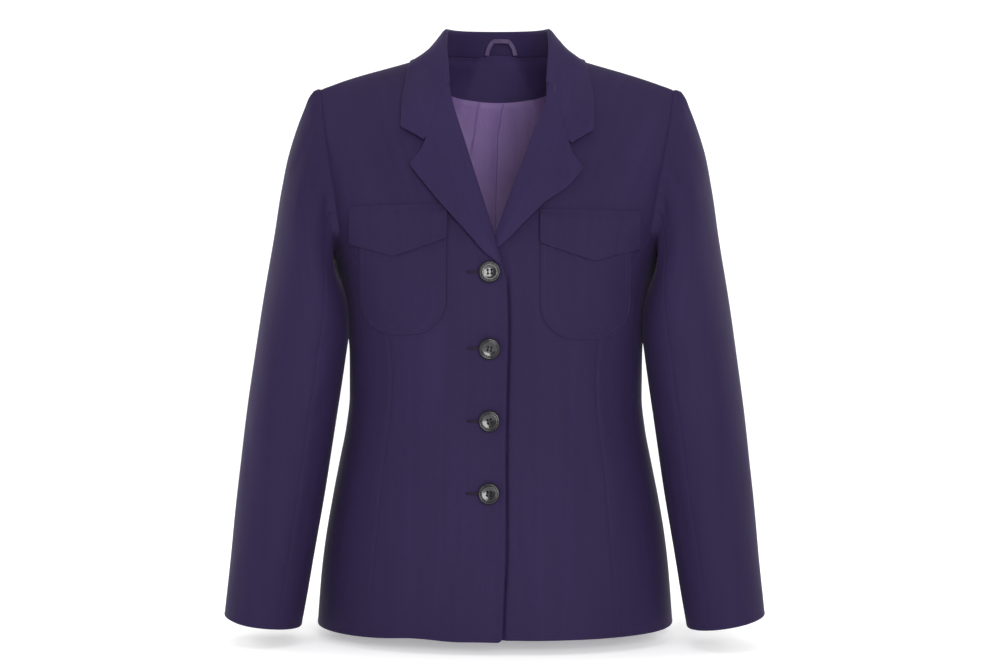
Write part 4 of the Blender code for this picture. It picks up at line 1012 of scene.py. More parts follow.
lapel = {
    "edge": [(-9, -243), (2, -236.5), (28, -209.5), (52, -183), (73, -160), (92, -136.5)],
    "top": [(54, -42), (60.5, -66.5), (67, -91), (74, -114), (83, -125), (92, -136.5)],
    "overFrom": -236 * mm, "underFrom": -226 * mm, "underDive": 3.4 * mm,
    "underLift": (7.5 * mm, 16 * mm),  # the lower end of the lapel that laps under
    "air": 4 * mm, "airAcross": 0.45, "airUp": 0.2,  # shares of its width and length to reach it
    "corner": 3.6 * mm,
    "rollRoom": 0.3 * mm, "rollReach": 20 * mm,
    "wrapAngles": [168, 145, 120, 96, 72, 48, 24],  # degrees round the front's edge
    "lessNearTop": 0.85, "topReach": 34 * mm,
    "pullReach": 9 * mm,  # how far in the collar's end draws it
    "tuckUp": 4 * mm, "tuckIn": 0.7 * mm,  # its top end runs on under the collar's fold
    "tuckReach": (9 * mm, 6 * mm),
    "footSunk": 1.3 * mm, "footReach": 16 * mm,  # and its lower end runs out into the front
    "step": 3.2 * mm,
}


def sideShare(x):  # how much of a side's own drop and shift a point takes
    return np.clip((x - form["gorge"][0]) / (20 * mm), 0, 1)


def between(points, count):  # straight between the points of a short outline, in metres
    points = np.array(points, float) * mm
    at = np.linspace(0, len(points) - 1, count)
    return np.stack([np.interp(at, range(len(points)), points[:, k]) for k in (0, 1)], -1)


def collarHalf(drop, shift, every=4, fallColumns=26):
    source = collar["stations"]
    x, z = source["seamX"], source["seamZ"]
    behind = source["foldY"] > 2 * source["foldY"][collar["neckStation"]]
    seam = bodyPoint(np.where(behind, turnAt(x, z, back=True), turnAt(x, z)), z) + [0, 0, cloth["layGap"]]
    rows = [seam] + [np.stack([source[part + axis] for axis in "XYZ"], -1) for part in ("fold", "edge")]
    bend = np.array(collar["endBend"])[:, None]
    knots = np.arange(float(len(x)))
    at = np.linspace(0, len(x) - 1, (len(x) - 1) * every + 1)
    seam, fold, edge, hollow, bend = [through(knots, values, at) for values in
                                      (*rows, source["hollow"][:, None], bend)]
    apart = collar["foldHalfWidth"] * unit(edge - seam)
    turnIn = fold + collar["foldHeight"] * unit(seam - fold) - apart
    turnOut = fold + collar["foldHeight"] * unit(edge - fold) + apart
    stand = np.stack([seam, (2 * seam + turnIn) / 3, (seam + 2 * turnIn) / 3, turnIn, fold], axis=1)
    share = np.linspace(0, 1, fallColumns)[None, :, None]
    fall = turnOut[:, None] + (edge - turnOut)[:, None] * share
    fall += (seam[:, None] - fall) * hollow[:, None] * 4 * share * (1 - share)
    end = between(collar["end"], fallColumns)
    fall += bend[:, None] * bow(np.insert(end, 1, 0, axis=1))
    amount = sideShare(fall[..., 0]) * np.clip(fall[..., 2] / form["gorge"][1], 0, 1)
    fall[..., 0] += shift * amount
    fall[..., 2] -= drop * amount
    fall = pushOut(fall, np.interp(share[..., 0], [0, 0.6, 1], collar["clearance"]))
    chest = np.clip(-fall[..., 2] / (60 * mm), 0, 1)
    air = np.interp(np.linspace(0, 5, fallColumns), range(6), collar["air"])
    lift = cloth["layGap"] + cloth["suiting"] / 2 + lapel["air"] * air * chest
    onChest = slice((collar["neckStation"] + 1) * every, None)
    fall[onChest] = pushOut(fall[onChest], lift[onChest])
    middle = np.concatenate([stand, fall], axis=1)
    along = np.concatenate([np.linspace(-1, 0, 5)[:4], [-0.001], share.ravel()])
    return np.concatenate([middle, np.broadcast_to(along[:, None], (*middle.shape[:2], 1))], axis=-1)


def makeCollar():
    left = collarHalf(form["leftDrop"], form["collarShift"])
    right = collarHalf(0, -form["collarShift"]) * [-1, 1, 1, 1]
    middle = np.concatenate([right[:0:-1], left])
    foldAt = np.linalg.norm(np.diff(middle[:, :5, :3], axis=1), axis=-1).sum(axis=1).mean()

    def columns(length):
        first, last, step = np.array(collar["atFold"]) * mm
        return merged(stations(length, collar["acrossStep"]), np.arange(foldAt + first, foldAt + last, step))

    fields = refine(middle, (collar["step"], None), (None, columns))
    middle, share = fields[..., :3], fields[len(fields) // 2, :, 3]
    around = np.linspace(-1, 1, len(middle))[:, None] * 0.26  # its length is about 0.52 metres
    down = sideDistances(middle)["left"]
    outward = np.cross(np.gradient(middle, axis=0), np.gradient(middle, axis=1))
    normal = gridNormals(middle, outward)
    free = rising(down, *collar["freeFrom"])
    middle = middle + normal * (waviness(around, down * 2, 11, 0.3 * mm) * free)[..., None]
    middle = roundCorner(roundCorner(middle, 0, -1, collar["corner"]), -1, -1, collar["corner"])
    rightEnd, leftEnd = middle[0], middle[-1]
    past = ramp((share - collar["notch"]) / 0.03)[None, :]
    inFall = ramp(share / 0.1)[None, :]
    ends = [row for side in ("start", "end")
            for row in (("edge", side, past), ("seam", side, collar["gorgeDip"] * (1 - past) * inFall))]
    clothPiece("collar", middle, cloth["suiting"], [("seam", "left", 0.5), ("edge", "right"), *ends],
               outward, [lapelSuiting])
    sewn = (share >= 0) & (share <= collar["notch"] + 1e-6)  # the stretch that is joined to the lapel
    return {"right": rightEnd[sewn] * [-1, 1, 1], "left": leftEnd[sewn]}


def makeLapel(side, over, collarEnd, rows=33, columns=26):
    levels = np.linspace(lapel["overFrom" if over else "underFrom"], form["gorge"][1], rows)
    outline = np.array(lapel["edge"], float) * mm
    run = travelled(outline)
    edge = through(run, outline, np.linspace(0, run[-1], rows))
    if not over:
        edge = edge + np.linspace(1, 0, rows)[:, None] * np.array(lapel["underLift"])
    roll = np.array([(rollLine(z, over) + lapel["rollRoom"], z) for z in levels])
    top = between(lapel["top"], columns)
    flat = coons(roll, edge, np.zeros((columns, 2)), bow(top))
    share = sideShare(flat[..., 0])
    flat[..., 0] += share * signs[side] * form["collarShift"]
    flat[..., 1] -= share * drops[side]
    across, up = np.linspace(0, 1, columns)[None, :], np.linspace(0, 1, rows)[:, None]
    turn, level = turnAt(flat[..., 0], flat[..., 1]), flat[..., 1]
    air = lapel["air"] * np.clip(across / lapel["airAcross"], 0, 1) * np.clip(up / lapel["airUp"], 0, 1)
    lift = cloth["layGap"] + air + cloth["lapel"] / 2 + bodyFolds(signs[side] * turn, level)
    if not over:
        lift = lift - lapel["underDive"] * behindLap(flat[..., 0], level)
    share = np.broadcast_to(across, level.shape)
    fields = refine(np.stack([*np.moveaxis(onBody(turn, level, lift), -1, 0), turn, level, share], -1),
                    (lapel["step"], lapel["step"]))
    middle, turn, level, share = fields[..., :3], fields[..., 3], fields[..., 4], fields[0, :, 5]

    # the top is sewn to the collar's end as far as the notch
    toSide = sideDistances(middle)
    topRun = toSide["left"][-1]
    notchAt = np.interp(collar["notch"], share, topRun)
    endRun = travelled(collarEnd)
    wanted = np.minimum(topRun / notchAt, 1) * endRun[-1]
    pull = np.stack([np.interp(wanted, endRun, collarEnd[:, k]) for k in range(3)], -1) - middle[-1]
    last = np.searchsorted(topRun, notchAt) - 1
    past = np.clip((topRun - notchAt) / lapel["pullReach"], 0, 1)
    pull = np.where(past[:, None] > 0, pull[last] * (1 - past[:, None]), pull)
    middle = middle + pull * np.exp(-toSide["end"] / lapel["pullReach"])[..., None]
    middle = roundCorner(middle, -1, -1, lapel["corner"])

    # its roll: the cloth turns round the front's edge
    radius = (cloth["layGap"] + cloth["lapel"] / 2 + cloth["suiting"] / 2) / 2
    away = unit(middle[:, 6:7] - middle[:, :1])
    inset = radius + cloth["lapel"] / 2
    inset = inset * (1 - lapel["lessNearTop"] * ramp(1 - toSide["end"] / lapel["topReach"]))
    inset = inset * np.clip(1 - sideDistances(middle)["left"] / lapel["rollReach"], 0, 1)
    sunk = lapel["footSunk"] * ramp(1 - toSide["start"] / lapel["footReach"])
    middle = middle + away * inset[..., None] - bodyNormal(turn, level) * sunk[..., None]
    out = bodyNormal(turn[:, :1], level[:, :1])
    angles = np.radians(lapel["wrapAngles"])[None, :, None]
    wrap = middle[:, :1] - out * radius + radius * (out * np.cos(angles) - away * np.sin(angles))
    middle = np.concatenate([wrap, middle], axis=1)
    down, across = lapel["tuckReach"]
    tuck = ramp(1 - toSide["end"][:, :1] / down) * ramp(1 - sideDistances(middle)["left"] / across)
    rollUp = unit(middle[-1, 6] - middle[-12, 6])
    middle = middle + tuck[..., None] * (lapel["tuckUp"] * rollUp - lapel["tuckIn"] * out[-1])
    outward = np.concatenate([np.zeros_like(wrap), bodyNormal(turn, level)], axis=1)
    free = np.concatenate([np.zeros(wrap.shape[1]), ramp(past * 4)])[None, :]
    clothPiece("lapel_" + side, middle, cloth["lapel"],
               [("edge", "start"), ("edge", "right"), ("edge", "end", free),
                ("seam", "end", collar["gorgeDip"] * (1 - free))],
               outward, [lapelSuiting], slanting=True)


collarEnds = makeCollar()
for side, over in (("right", True), ("left", False)):
    makeLapel(side, over, collarEnds[side])
print("collar and lapels")


# inside the back: facing, lining and hanger loop

inside = {
    "facingGap": 2.6 * mm, "liningGap": 1.8 * mm,
    "facingReach": 104 * mm,
    "hem": -617 * mm,  # the lining is shorter than the back
    "sideInset": 3 * mm,
    "pleat": [(9, -30), (2.8, -50), (-0.8, -79), (-3.2, -174), (-3, -420), (-2, -617)],
    "pleatHeight": [(2.4, -40), (1.9, -80), (1.3, -174), (1.0, -420), (0.7, -617)],
    "folds": [  # along the lining, like the creases of the body
        (18, -20, 24, -150, 3, 6, 0.6), (36, -20, 40, -120, 2, 5, 0.5), (-44, -20, -52, -150, -4, 6, 0.8),
        (10, -150, 14, -330, 3, 8, 0.8), (-30, -160, -42, -380, -6, 9, 0.9),
        (46, -180, 60, -400, 5, 10, 0.7), (-80, -220, -92, -470, -6, 12, 1.1),
        (86, -260, 96, -520, 6, 12, 1.0), (-60, -440, -66, -610, 4, 10, 0.8),
        (30, -430, 28, -612, -4, 10, 0.9), (110, -520, 114, -612, 2, 9, 0.8),
    ],
    "tuck": (-23.6, -42, -32.6, -96),  # a sharp fold beside the pleat
    "tuckHeight": 1.7 * mm,
    "creaseRise": (-0.3, 0.9), "pleatFade": 11 * mm,  # a fold's sharp side and its soft one
    "tuckRise": (-0.3, 1.0), "tuckFade": 7 * mm, "tuckUp": (-14, 26), "tuckOver": 6 * mm,
    "edge": -39 * mm, "edgeRise": 6 * mm,  # the facing's lower edge, and its rise 50 mm out
    "sewnReach": 14 * mm,  # the facing's top is sewn to the neck
    "behindFacing": 0.6 * mm, "behindUp": (-0.4, 2), "calmUp": (-7, 8),
    "soft": 0.6 * mm, "least": 0.4 * mm,  # how far the lining stands in at least
    "dense": 165 * mm,  # its upper part has closer rows
}
creases["lining"] = inside["folds"]


def facingEdge(x):
    return inside["edge"] + inside["edgeRise"] * (x / (50 * mm)) ** 2


def makeFacing():
    neckX = form["neckPoint"][0]
    neck = neckX * np.sin(np.linspace(0, math.pi / 2, 15))
    reach = np.concatenate([neck, np.linspace(neckX, inside["facingReach"], 8)[1:]])
    top = np.where(reach < neckX, backNeckCurve(reach) + 0.9 * mm, shoulderHeight(reach) - 2 * mm)
    share = np.linspace(0, 1, 9)[:, None]
    level = facingEdge(reach) * (1 - share) + top * share
    turn = turnAt(np.broadcast_to(reach, level.shape), level, back=True)
    fields = refine(bothSides(bodyFields(turn, level)), (3 * mm, 3 * mm))
    turn, level = fields[..., 3], fields[..., 4]
    near = 1 - ramp(sideDistances(fields[..., :3])["end"] / inside["sewnReach"])
    depth = cloth["suiting"] + inside["facingGap"] * (1 - 0.85 * near) + cloth["facing"] / 2
    soft = waviness(fields[..., 0], level, 21, 0.25 * mm) * (1 - near)
    middle = onBody(turn, level, soft - depth)
    clothPiece("facing_back_neck", middle, cloth["facing"],
               [("edge", "start", 0.6), ("edge", "left"), ("edge", "right"), ("seam", "end", 0.3)],
               bodyNormal(turn, level), [facingSuitingPaintedLight])


def liningFields(columns=25):
    share = np.linspace(0, 1, columns)
    low = np.linspace(inside["hem"], -200 * mm, 17)
    x = read(panelSeams, "back", low) - inside["sideInset"]
    turns = 2 * (1 - share) + turnAt(x, low, back=True)[:, None] * share
    levels = np.repeat(low[:, None], columns, axis=1)
    start = bodyPoint(turns[-1], levels[-1])[:, [0, 2]]
    reach = share * (form["shoulderTip"][0] - inside["sideInset"] - 2 * mm)
    top = np.minimum(facingEdge(reach) + 3 * mm, shoulderHeight(reach) - 4 * mm)
    inner = np.linspace(start[0, 1], top[0], 17)
    outer = np.linspace(start[-1, 1], top[-1], 17)
    right = np.stack([read(armhole, "back", outer) - inside["sideInset"], outer], -1)
    upper = coons(np.stack([0 * inner, inner], -1), right, bow(start), bow(np.stack([reach, top], -1)))[1:]
    turns = np.concatenate([turns, turnAt(upper[..., 0], upper[..., 1], back=True)])
    return bothSides(bodyFields(turns, np.concatenate([levels, upper[..., 1]])))


def liningRise(x, z):  # how far the lining stands in from its plain form
    line, height = np.array(inside["pleat"]) * mm, np.array(inside["pleatHeight"]) * mm
    pleatX = np.interp(-z, -line[:, 1], line[:, 0])
    aside = pleatX - x
    size = np.interp(-z, -height[:, 1], height[:, 0])
    rise = size * rising(aside, *inside["creaseRise"]) * np.exp(-np.maximum(aside, 0) / inside["pleatFade"])
    x0, z0, x1, z1 = np.array(inside["tuck"]) * mm
    t = np.clip((z0 - z) / (z0 - z1), 0, 1)
    aside = x - (x0 + (x1 - x0) * t ** 0.8)
    shape = rising(aside, *inside["tuckRise"]) * np.exp(-np.maximum(aside, 0) / inside["tuckFade"])
    fade = rising(z - z1, *inside["tuckUp"]) * np.where(z > z0 + inside["tuckOver"], 0, 1)
    return rise + inside["tuckHeight"] * shape * fade + foldHeight(x, z, "lining")


def makeLining():
    def rows(length):
        dense = inside["dense"]
        return np.concatenate([stations(length - dense, 6.5 * mm)[:-6],
                               stations(dense, 2.2 * mm)[6:] + length - dense])

    def columns(length):
        middle = length / 2
        near = np.arange(middle - 46 * mm, middle + 46 * mm, 1.5 * mm)
        pleat = np.arange(middle - 8 * mm, middle + 8 * mm, 0.5 * mm)
        return merged(stations(length, 6 * mm), near, pleat)

    fields = refine(liningFields(), (None, None), (rows, columns))
    turn, level = fields[..., 3], fields[..., 4]
    aboveEdge = level - facingEdge(fields[..., 0])
    behindFacing = inside["behindFacing"] * rising(aboveEdge, *inside["behindUp"])
    x = fields[..., 0]
    rise = liningRise(x, level) + waviness(x, level, 31, 0.35 * mm) + inside["soft"]
    rise = (rise + np.sqrt(rise ** 2 + inside["least"] ** 2)) / 2
    calm = 1 - 0.8 * rising(aboveEdge, *inside["calmUp"])
    depth = cloth["suiting"] + inside["liningGap"] + cloth["lining"] / 2 + rise * calm - behindFacing
    clothPiece("lining_back", onBody(turn, level, -depth), cloth["lining"],
               [("edge", side) for side in ("start", "end", "left", "right")], bodyNormal(turn, level),
               [satin])


loop = {
    "halfWidth": 2.6 * mm, "thick": 1.1 * mm, "aside": 3 * mm,  # it is sewn a little to the wearer's left
    "crease": 0.25 * mm, "waver": 0.1 * mm, "arch": 0.5 * mm,  # pressed down its middle, and bent out
    "strips": [  # x, y and z of each strip's ends and, between them, of the point it bends towards
        ((-16.9, 74.0, 13.0), (-14.6, 72.6, 26.0), (-7.6, 72.0, 30.2), 0.0),
        ((16.9, 74.0, 13.0), (14.6, 72.6, 26.0), (7.6, 72.0, 30.2), 0.0),
        ((-9.6, 71.9, 29.4), (0, 71.7, 30.0), (9.6, 71.9, 29.4), 0.55),  # over the other two
    ],
}


def makeLoop():
    bm = bmesh.new()
    inward = np.array([0, -1.0, 0])
    for *bends, over in loop["strips"]:
        first, bent, last = np.array(bends) * mm + [loop["aside"], 0, 0]
        t = np.linspace(0, 1, 25)[:, None, None]
        line = (1 - t) ** 2 * first + 2 * t * (1 - t) * bent + t * t * last
        side = unit(np.cross((1 - t) * (bent - first) + t * (last - bent), inward))
        across = np.sin(np.linspace(-math.pi / 2, math.pi / 2, 13))[None, :, None]
        crease = loop["crease"] * np.exp(-(across / 0.22) ** 2) + loop["waver"] * np.sin(t * 9)
        arch = loop["arch"] * np.sin(t * math.pi)
        plane = line + side * across * loop["halfWidth"]
        half = loop["thick"] / 2 * np.sqrt(np.maximum(1 - (np.abs(across) ** 6), 0.03))
        outer = plane + inward * (over * mm + arch + half - crease)
        inner = plane + inward * (over * mm + arch - half)
        grids = [[[bm.verts.new(p) for p in row] for row in skin] for skin in (outer, inner)]
        for skin in grids:
            for row, following in zip(skin, skin[1:]):
                join(bm, row, following, closed=False)
        join(bm, *[skin[0] + [row[-1] for row in skin[1:]] + skin[-1][-2::-1]
                   + [row[0] for row in skin[-2:0:-1]] for skin in grids])  # round the rim
    bmesh.ops.recalc_face_normals(bm, faces=bm.faces)
    mesh = meshOf("hanger_loop_cloth", bm, loopSatinPaintedShade)
    layFlat(mesh, np.array([v.co for v in mesh.vertices])[:, [0, 2]])
    mesh.shade_smooth()
    piece = addPiece("hanger_loop_cloth", mesh, "hanger_loop")
    length = sum(float(np.linalg.norm(np.subtract(b, a)) + np.linalg.norm(np.subtract(c, b)))
                 for a, b, c, _ in loop["strips"]) * mm
    sheetRows.append(("hanger_loop_cloth", round(4000 * loop["halfWidth"]), round(length * 1000), 0))


makeFacing()
makeLining()
makeLoop()
print("facing, lining and hanger loop")


# pockets and flaps

pocket = {
    "inner": 49 * mm, "outer": 145 * mm, "top": -192 * mm, "bottom": -317 * mm, "corner": 38 * mm,
    "stitchInset": 4.6 * mm,  # a row of stitches inside the turned edge
    "stitchTop": -214 * mm,
}
flap = {
    "outline": table("x top bottom", [
        (48.5, -179, -216), (67, -179, -222), (86, -179, -228), (105.5, -179, -234), (122, -179, -229),
        (139, -179, -224), (155.5, -179, -219)]),
    "seam": 2 * mm,  # from the top edge down to where it starts to lift
    "stitchInset": 5.8 * mm,
    "corner": 2.2 * mm,
    "rest": 8 * mm,  # length over which it climbs onto the pocket
    "pointLift": 0.7 * mm, "pointDown": (30, 20),  # its point stands off a little,
    "innerLift": 1.4 * mm, "innerReach": 6 * mm,  # and so does its inner edge
}


def makePocket(side):
    drop, corner = drops[side], pocket["corner"]
    high = pocket["top"] - pocket["bottom"]
    rounded = corner * (1 - np.cos(np.linspace(0, math.pi / 2, 27)))
    rise = np.concatenate([[0, 0.25 * mm], rounded[3:], np.arange(corner, high, 3 * mm)[1:], [high]])
    inset = corner - np.sqrt(corner ** 2 - np.maximum(corner - rise, 0) ** 2)
    share = (1 - np.cos(np.linspace(0, math.pi, 39))) / 2
    share = 0.5 * share + 0.5 * np.linspace(0, 1, 39)
    x = (pocket["inner"] + inset)[:, None] * (1 - share) + (pocket["outer"] - inset)[:, None] * share
    up = np.broadcast_to(rise[:, None], x.shape)
    middleX, halfWide = (pocket["inner"] + pocket["outer"]) / 2, (pocket["outer"] - pocket["inner"]) / 2
    a, b = np.abs(x - middleX) - (halfWide - corner), corner - up
    toEdge = corner - np.hypot(np.maximum(a, 0), np.maximum(b, 0)) - np.minimum(np.maximum(a, b), 0)
    level = pocket["bottom"] + up - drop
    turn = turnAt(x, level)
    lift = cloth["layGap"] + cloth["pocket"] / 2 + bodyFolds(signs[side] * turn, level)
    clothPiece("pocket_" + side, onBody(turn, level, lift), cloth["pocket"],
               [("edge", np.maximum(toEdge, 0)), ("topstitch", toEdge, pocket["stitchInset"])],
               bodyNormal(turn, level), [suiting])


def makeFlap(side):
    drop, outline = drops[side], flap["outline"]
    first, last = outline["x"][0], outline["x"][-1]
    x = first + stations(last - first, 2.6 * mm)
    foot = np.interp(x, outline["x"], outline["bottom"])
    height = stations(outline["top"][0] - foot.mean(), 2.4 * mm)
    share = (height / height[-1])[:, None]
    level = foot * (1 - share) + outline["top"][0] * share - drop
    x = np.broadcast_to(x, level.shape)
    fromTop = outline["top"][0] - drop - level
    onPocket = ramp((fromTop - flap["seam"]) / flap["rest"])
    turn = turnAt(x, level)
    away = flap["pointLift"] * rising(fromTop, *flap["pointDown"])
    away = away + flap["innerLift"] * np.exp(-(x - first) / flap["innerReach"]) * onPocket
    lift = cloth["layGap"] + (cloth["pocket"] + cloth["layGap"]) * onPocket + cloth["flap"] / 2 + away
    middle = onBody(turn, level, lift + bodyFolds(signs[side] * turn, level))
    for column in (0, -1):
        middle = roundCorner(middle, 0, column, flap["corner"])
    clothPiece("flap_" + side, middle, cloth["flap"],
               [("edge", "start"), ("edge", "left"), ("edge", "right"), ("edge", "end", 0.7),
                ("topstitch", fromTop, flap["stitchInset"])],
               bodyNormal(turn, level), [suiting])


for side in signs:
    makePocket(side)
    makeFlap(side)
print("pockets and flaps")


# buttons

button = {
    "line": -3.6 * mm,  # they sit a little to the wearer's right of the centre
    "levels": [-251 * mm, -331 * mm, -408 * mm, -484 * mm],
    "stand": 2.5 * mm,  # from the cloth's form to the button's back
    "outline": [  # radius and height, from the middle of the back over the rim to the middle of the dish
        (0, 0.35), (4.5, 0.2), (8.2, 0.05), (9.6, 0.2), (10.6, 0.5), (11.2, 0.95), (11.4, 1.4), (11.3, 1.9),
        (10.95, 2.45), (10.5, 2.85), (10.15, 3.05), (9.85, 3.12), (9.55, 3.04), (9.25, 2.75), (8.95, 2.3),
        (8.6, 2.05), (8.25, 2.08), (7.95, 2.35), (7.65, 2.52), (7.2, 2.5), (6.2, 2.26), (4.6, 1.96),
        (2.5, 1.8), (0, 1.76)],
    "sides": 72, "mattFrom": 10.2 * mm,
    "holePitch": 1.85 * mm,  # half the way between two holes
    "drill": [  # radius and height, wider at both faces
        (0, -1), (1.3, -1), (1.3, 0.25), (1.0, 0.6), (1.0, 1.6), (1.3, 1.95), (1.6, 4), (0, 4)],
    "drillSides": 28, "sharpFrom": 50,  # degrees
    "turns": [4, -9, 13, -5],  # degrees: sewn on by hand, so none sits quite square
    "tips": [(2.4, -1.0), (1.0, 1.6), (-1.5, -1.2), (-2.2, 1.4)],
}


def turnedShape(bm, outline, sides):  # a closed shape of revolution; its outline starts and ends on the axis
    x, y, z = np.eye(3)
    rings = [ringOf(bm, z * height, x, y, radius, sides if radius else 1) for radius, height in outline]
    for lower, upper in zip(rings, rings[1:]):
        join(bm, lower, upper)
    bmesh.ops.recalc_face_normals(bm, faces=bm.faces)


def buttonPlace(number):  # the button's own axes: right, up and out of its face
    level = button["levels"][number]
    turn = turnAt(np.array(button["line"]), level)
    out = bodyNormal(turn, level)
    seat = onBody(turn, level, np.array(button["stand"]))
    tipX, tipZ = np.radians(button["tips"][number])
    out = unit(out + [tipX, 0, tipZ])
    right = unit(np.cross([0, 0, 1], -out))
    roll = math.radians(button["turns"][number])
    up = np.cross(out, right)
    right, up = right * math.cos(roll) + up * math.sin(roll), up * math.cos(roll) - right * math.sin(roll)
    return seat, right, up, out


def toPlace(mesh, place):
    seat, right, up, out = place
    for v in mesh.vertices:
        x, y, z = v.co
        v.co = Vector(seat + right * x + up * y + out * z)


def makeButton(number):
    points = np.array(button["outline"], float) * mm
    run = travelled(points)
    fine = through(run, points, np.union1d(run, np.arange(0, run[-1], 0.45 * mm)))
    fine[[0, -1], 0] = 0
    bm = bmesh.new()
    turnedShape(bm, [tuple(p) for p in fine], button["sides"])
    body = linked("turned disc", meshOf("turned disc", bm, resin))
    cutters = []
    for x in (-button["holePitch"], button["holePitch"]):
        for y in (-button["holePitch"], button["holePitch"]):
            bm = bmesh.new()
            turnedShape(bm, [(r * mm, z * mm) for r, z in button["drill"]], button["drillSides"])
            bmesh.ops.translate(bm, verts=bm.verts, vec=(x, y, 0))
            cutters.append(linked("drill", meshOf("drill", bm, resin)))
            cut = body.modifiers.new("hole", "BOOLEAN")
            cut.operation, cut.object, cut.solver = "DIFFERENCE", cutters[-1], "EXACT"
    drilled = evaluated(body)
    for thing in [body, *cutters]:
        bpy.data.objects.remove(thing)
    drilled.materials.append(mattResin)
    for face in drilled.polygons:
        if math.hypot(*face.center[:2]) > button["mattFrom"]:
            face.material_index = 1
    drilled.shade_smooth()
    drilled.set_sharp_from_angle(angle=math.radians(button["sharpFrom"]))
    toPlace(drilled, buttonPlace(number))
    addPiece(f"button_{number + 1}_resin", drilled, f"button_{number + 1}")


for number in range(len(button["levels"])):
    makeButton(number)
print("buttons")


# sewing: topstitches, buttonholes and the buttons' thread

stitching = {
    "pitch": 3.0 * mm, "length": 2.2 * mm, "radius": 0.26 * mm,
    "sunk": 0.06 * mm,  # how deep a stitch lies in the cloth
}
holeSewing = {
    "start": button["line"] + 7 * mm, "end": button["line"] - 23 * mm,  # towards the wearer's right
    "pitch": 0.62 * mm, "length": 1.1 * mm, "radius": 0.24 * mm,
    "halfGap": 0.5 * mm,  # half the slit's width
    "lift": 0.05 * mm,
    "lens": [(0.02 * mm, 1.35), (0.28 * mm, 0.8)],  # the painted slit shade's two faces: height, and share of the gap
}


def stitchTree():  # places one stitch at each step along each line, lying along it or across it
    tree = bpy.data.node_groups.new("stitches along lines", "GeometryNodeTree")
    sockets = {}
    face = tree.interface
    face.new_socket("Geometry", in_out="INPUT", socket_type="NodeSocketGeometry")
    for name in ("Pitch", "Length", "Radius", "Turn"):
        sockets[name] = face.new_socket(name, in_out="INPUT", socket_type="NodeSocketFloat").identifier
    sockets["Material"] = face.new_socket("Material", in_out="INPUT",
                                          socket_type="NodeSocketMaterial").identifier
    face.new_socket("Geometry", in_out="OUTPUT", socket_type="NodeSocketGeometry")
    given = tree.nodes.new("NodeGroupInput").outputs
    lines = node(tree, "GeometryNodeMeshToCurve", Mesh=given["Geometry"])
    points = node(tree, "GeometryNodeCurveToPoints", {"mode": "LENGTH"}, Curve=lines.outputs[0],
                  Length=given["Pitch"])
    out = node(tree, "GeometryNodeInputNamedAttribute", {"data_type": "FLOAT_VECTOR"}, Name="out")
    alongX = node(tree, "FunctionNodeAlignRotationToVector", {"axis": "X"}, Vector=points.outputs["Tangent"])
    facing = node(tree, "FunctionNodeAlignRotationToVector", {"axis": "Z", "pivot_axis": "X"},
                  Rotation=alongX.outputs[0], Vector=out.outputs["Attribute"])
    jitter = node(tree, "FunctionNodeRandomValue", {"data_type": "FLOAT"}, Min=-0.05, Max=0.05, Seed=7)
    turned = node(tree, "ShaderNodeMath", {"operation": "ADD"}, _0=given["Turn"],
                  _1=jitter.outputs[1])
    spin = node(tree, "ShaderNodeCombineXYZ", Z=turned.outputs[0])
    euler = node(tree, "FunctionNodeEulerToRotation", Euler=spin.outputs[0])
    aimed = node(tree, "FunctionNodeRotateRotation", {"rotation_space": "LOCAL"}, Rotation=facing.outputs[0],
                 Rotate_By=euler.outputs[0])
    bead = node(tree, "GeometryNodeMeshUVSphere", Segments=6, Rings=5, Radius=1.0)
    half = node(tree, "ShaderNodeMath", {"operation": "MULTIPLY"}, _0=given["Length"], _1=0.5)
    size = node(tree, "ShaderNodeCombineXYZ", X=half.outputs[0], Y=given["Radius"], Z=given["Radius"])
    placed = node(tree, "GeometryNodeInstanceOnPoints", Points=points.outputs["Points"],
                  Instance=bead.outputs["Mesh"], Rotation=aimed.outputs[0], Scale=size.outputs[0])
    real = node(tree, "GeometryNodeRealizeInstances", Geometry=placed.outputs[0])
    coloured = node(tree, "GeometryNodeSetMaterial", Geometry=real.outputs[0], Material=given["Material"])
    node(tree, "NodeGroupOutput", Geometry=coloured.outputs[0])
    return tree, sockets


stitchNodes, stitchSockets = stitchTree()


def stitched(name, lines, size, turn, material):  # lines: pairs of points and directions out of the cloth
    bm = bmesh.new()
    layer = bm.verts.layers.float_vector.new("out")
    for points, outs in lines:
        last = None
        for p, n in zip(points, outs):
            v = bm.verts.new(p)
            v[layer] = Vector(n)
            if last:
                bm.edges.new((last, v))
            last = v
    base = linked("lines of " + name, meshOf("lines of " + name, bm))
    modifier = base.modifiers.new("stitches", "NODES")
    modifier.node_group = stitchNodes
    values = {key: size[key.lower()] for key in ("Pitch", "Length", "Radius")}
    for key, value in {**values, "Turn": math.radians(turn), "Material": material}.items():
        modifier[stitchSockets[key]] = value
    mesh = evaluated(base)
    bpy.data.objects.remove(base)
    mesh.name = name
    mesh.shade_smooth()
    addPiece(name, mesh)


def lineOn(side, x, level, height):  # a line over a front panel's cloth, and the directions out of it
    turn, flip = turnAt(x, level), [signs[side], 1, 1]
    points = onBody(turn, level, height + bodyFolds(signs[side] * turn, level))
    return points * flip, bodyNormal(turn, level) * flip


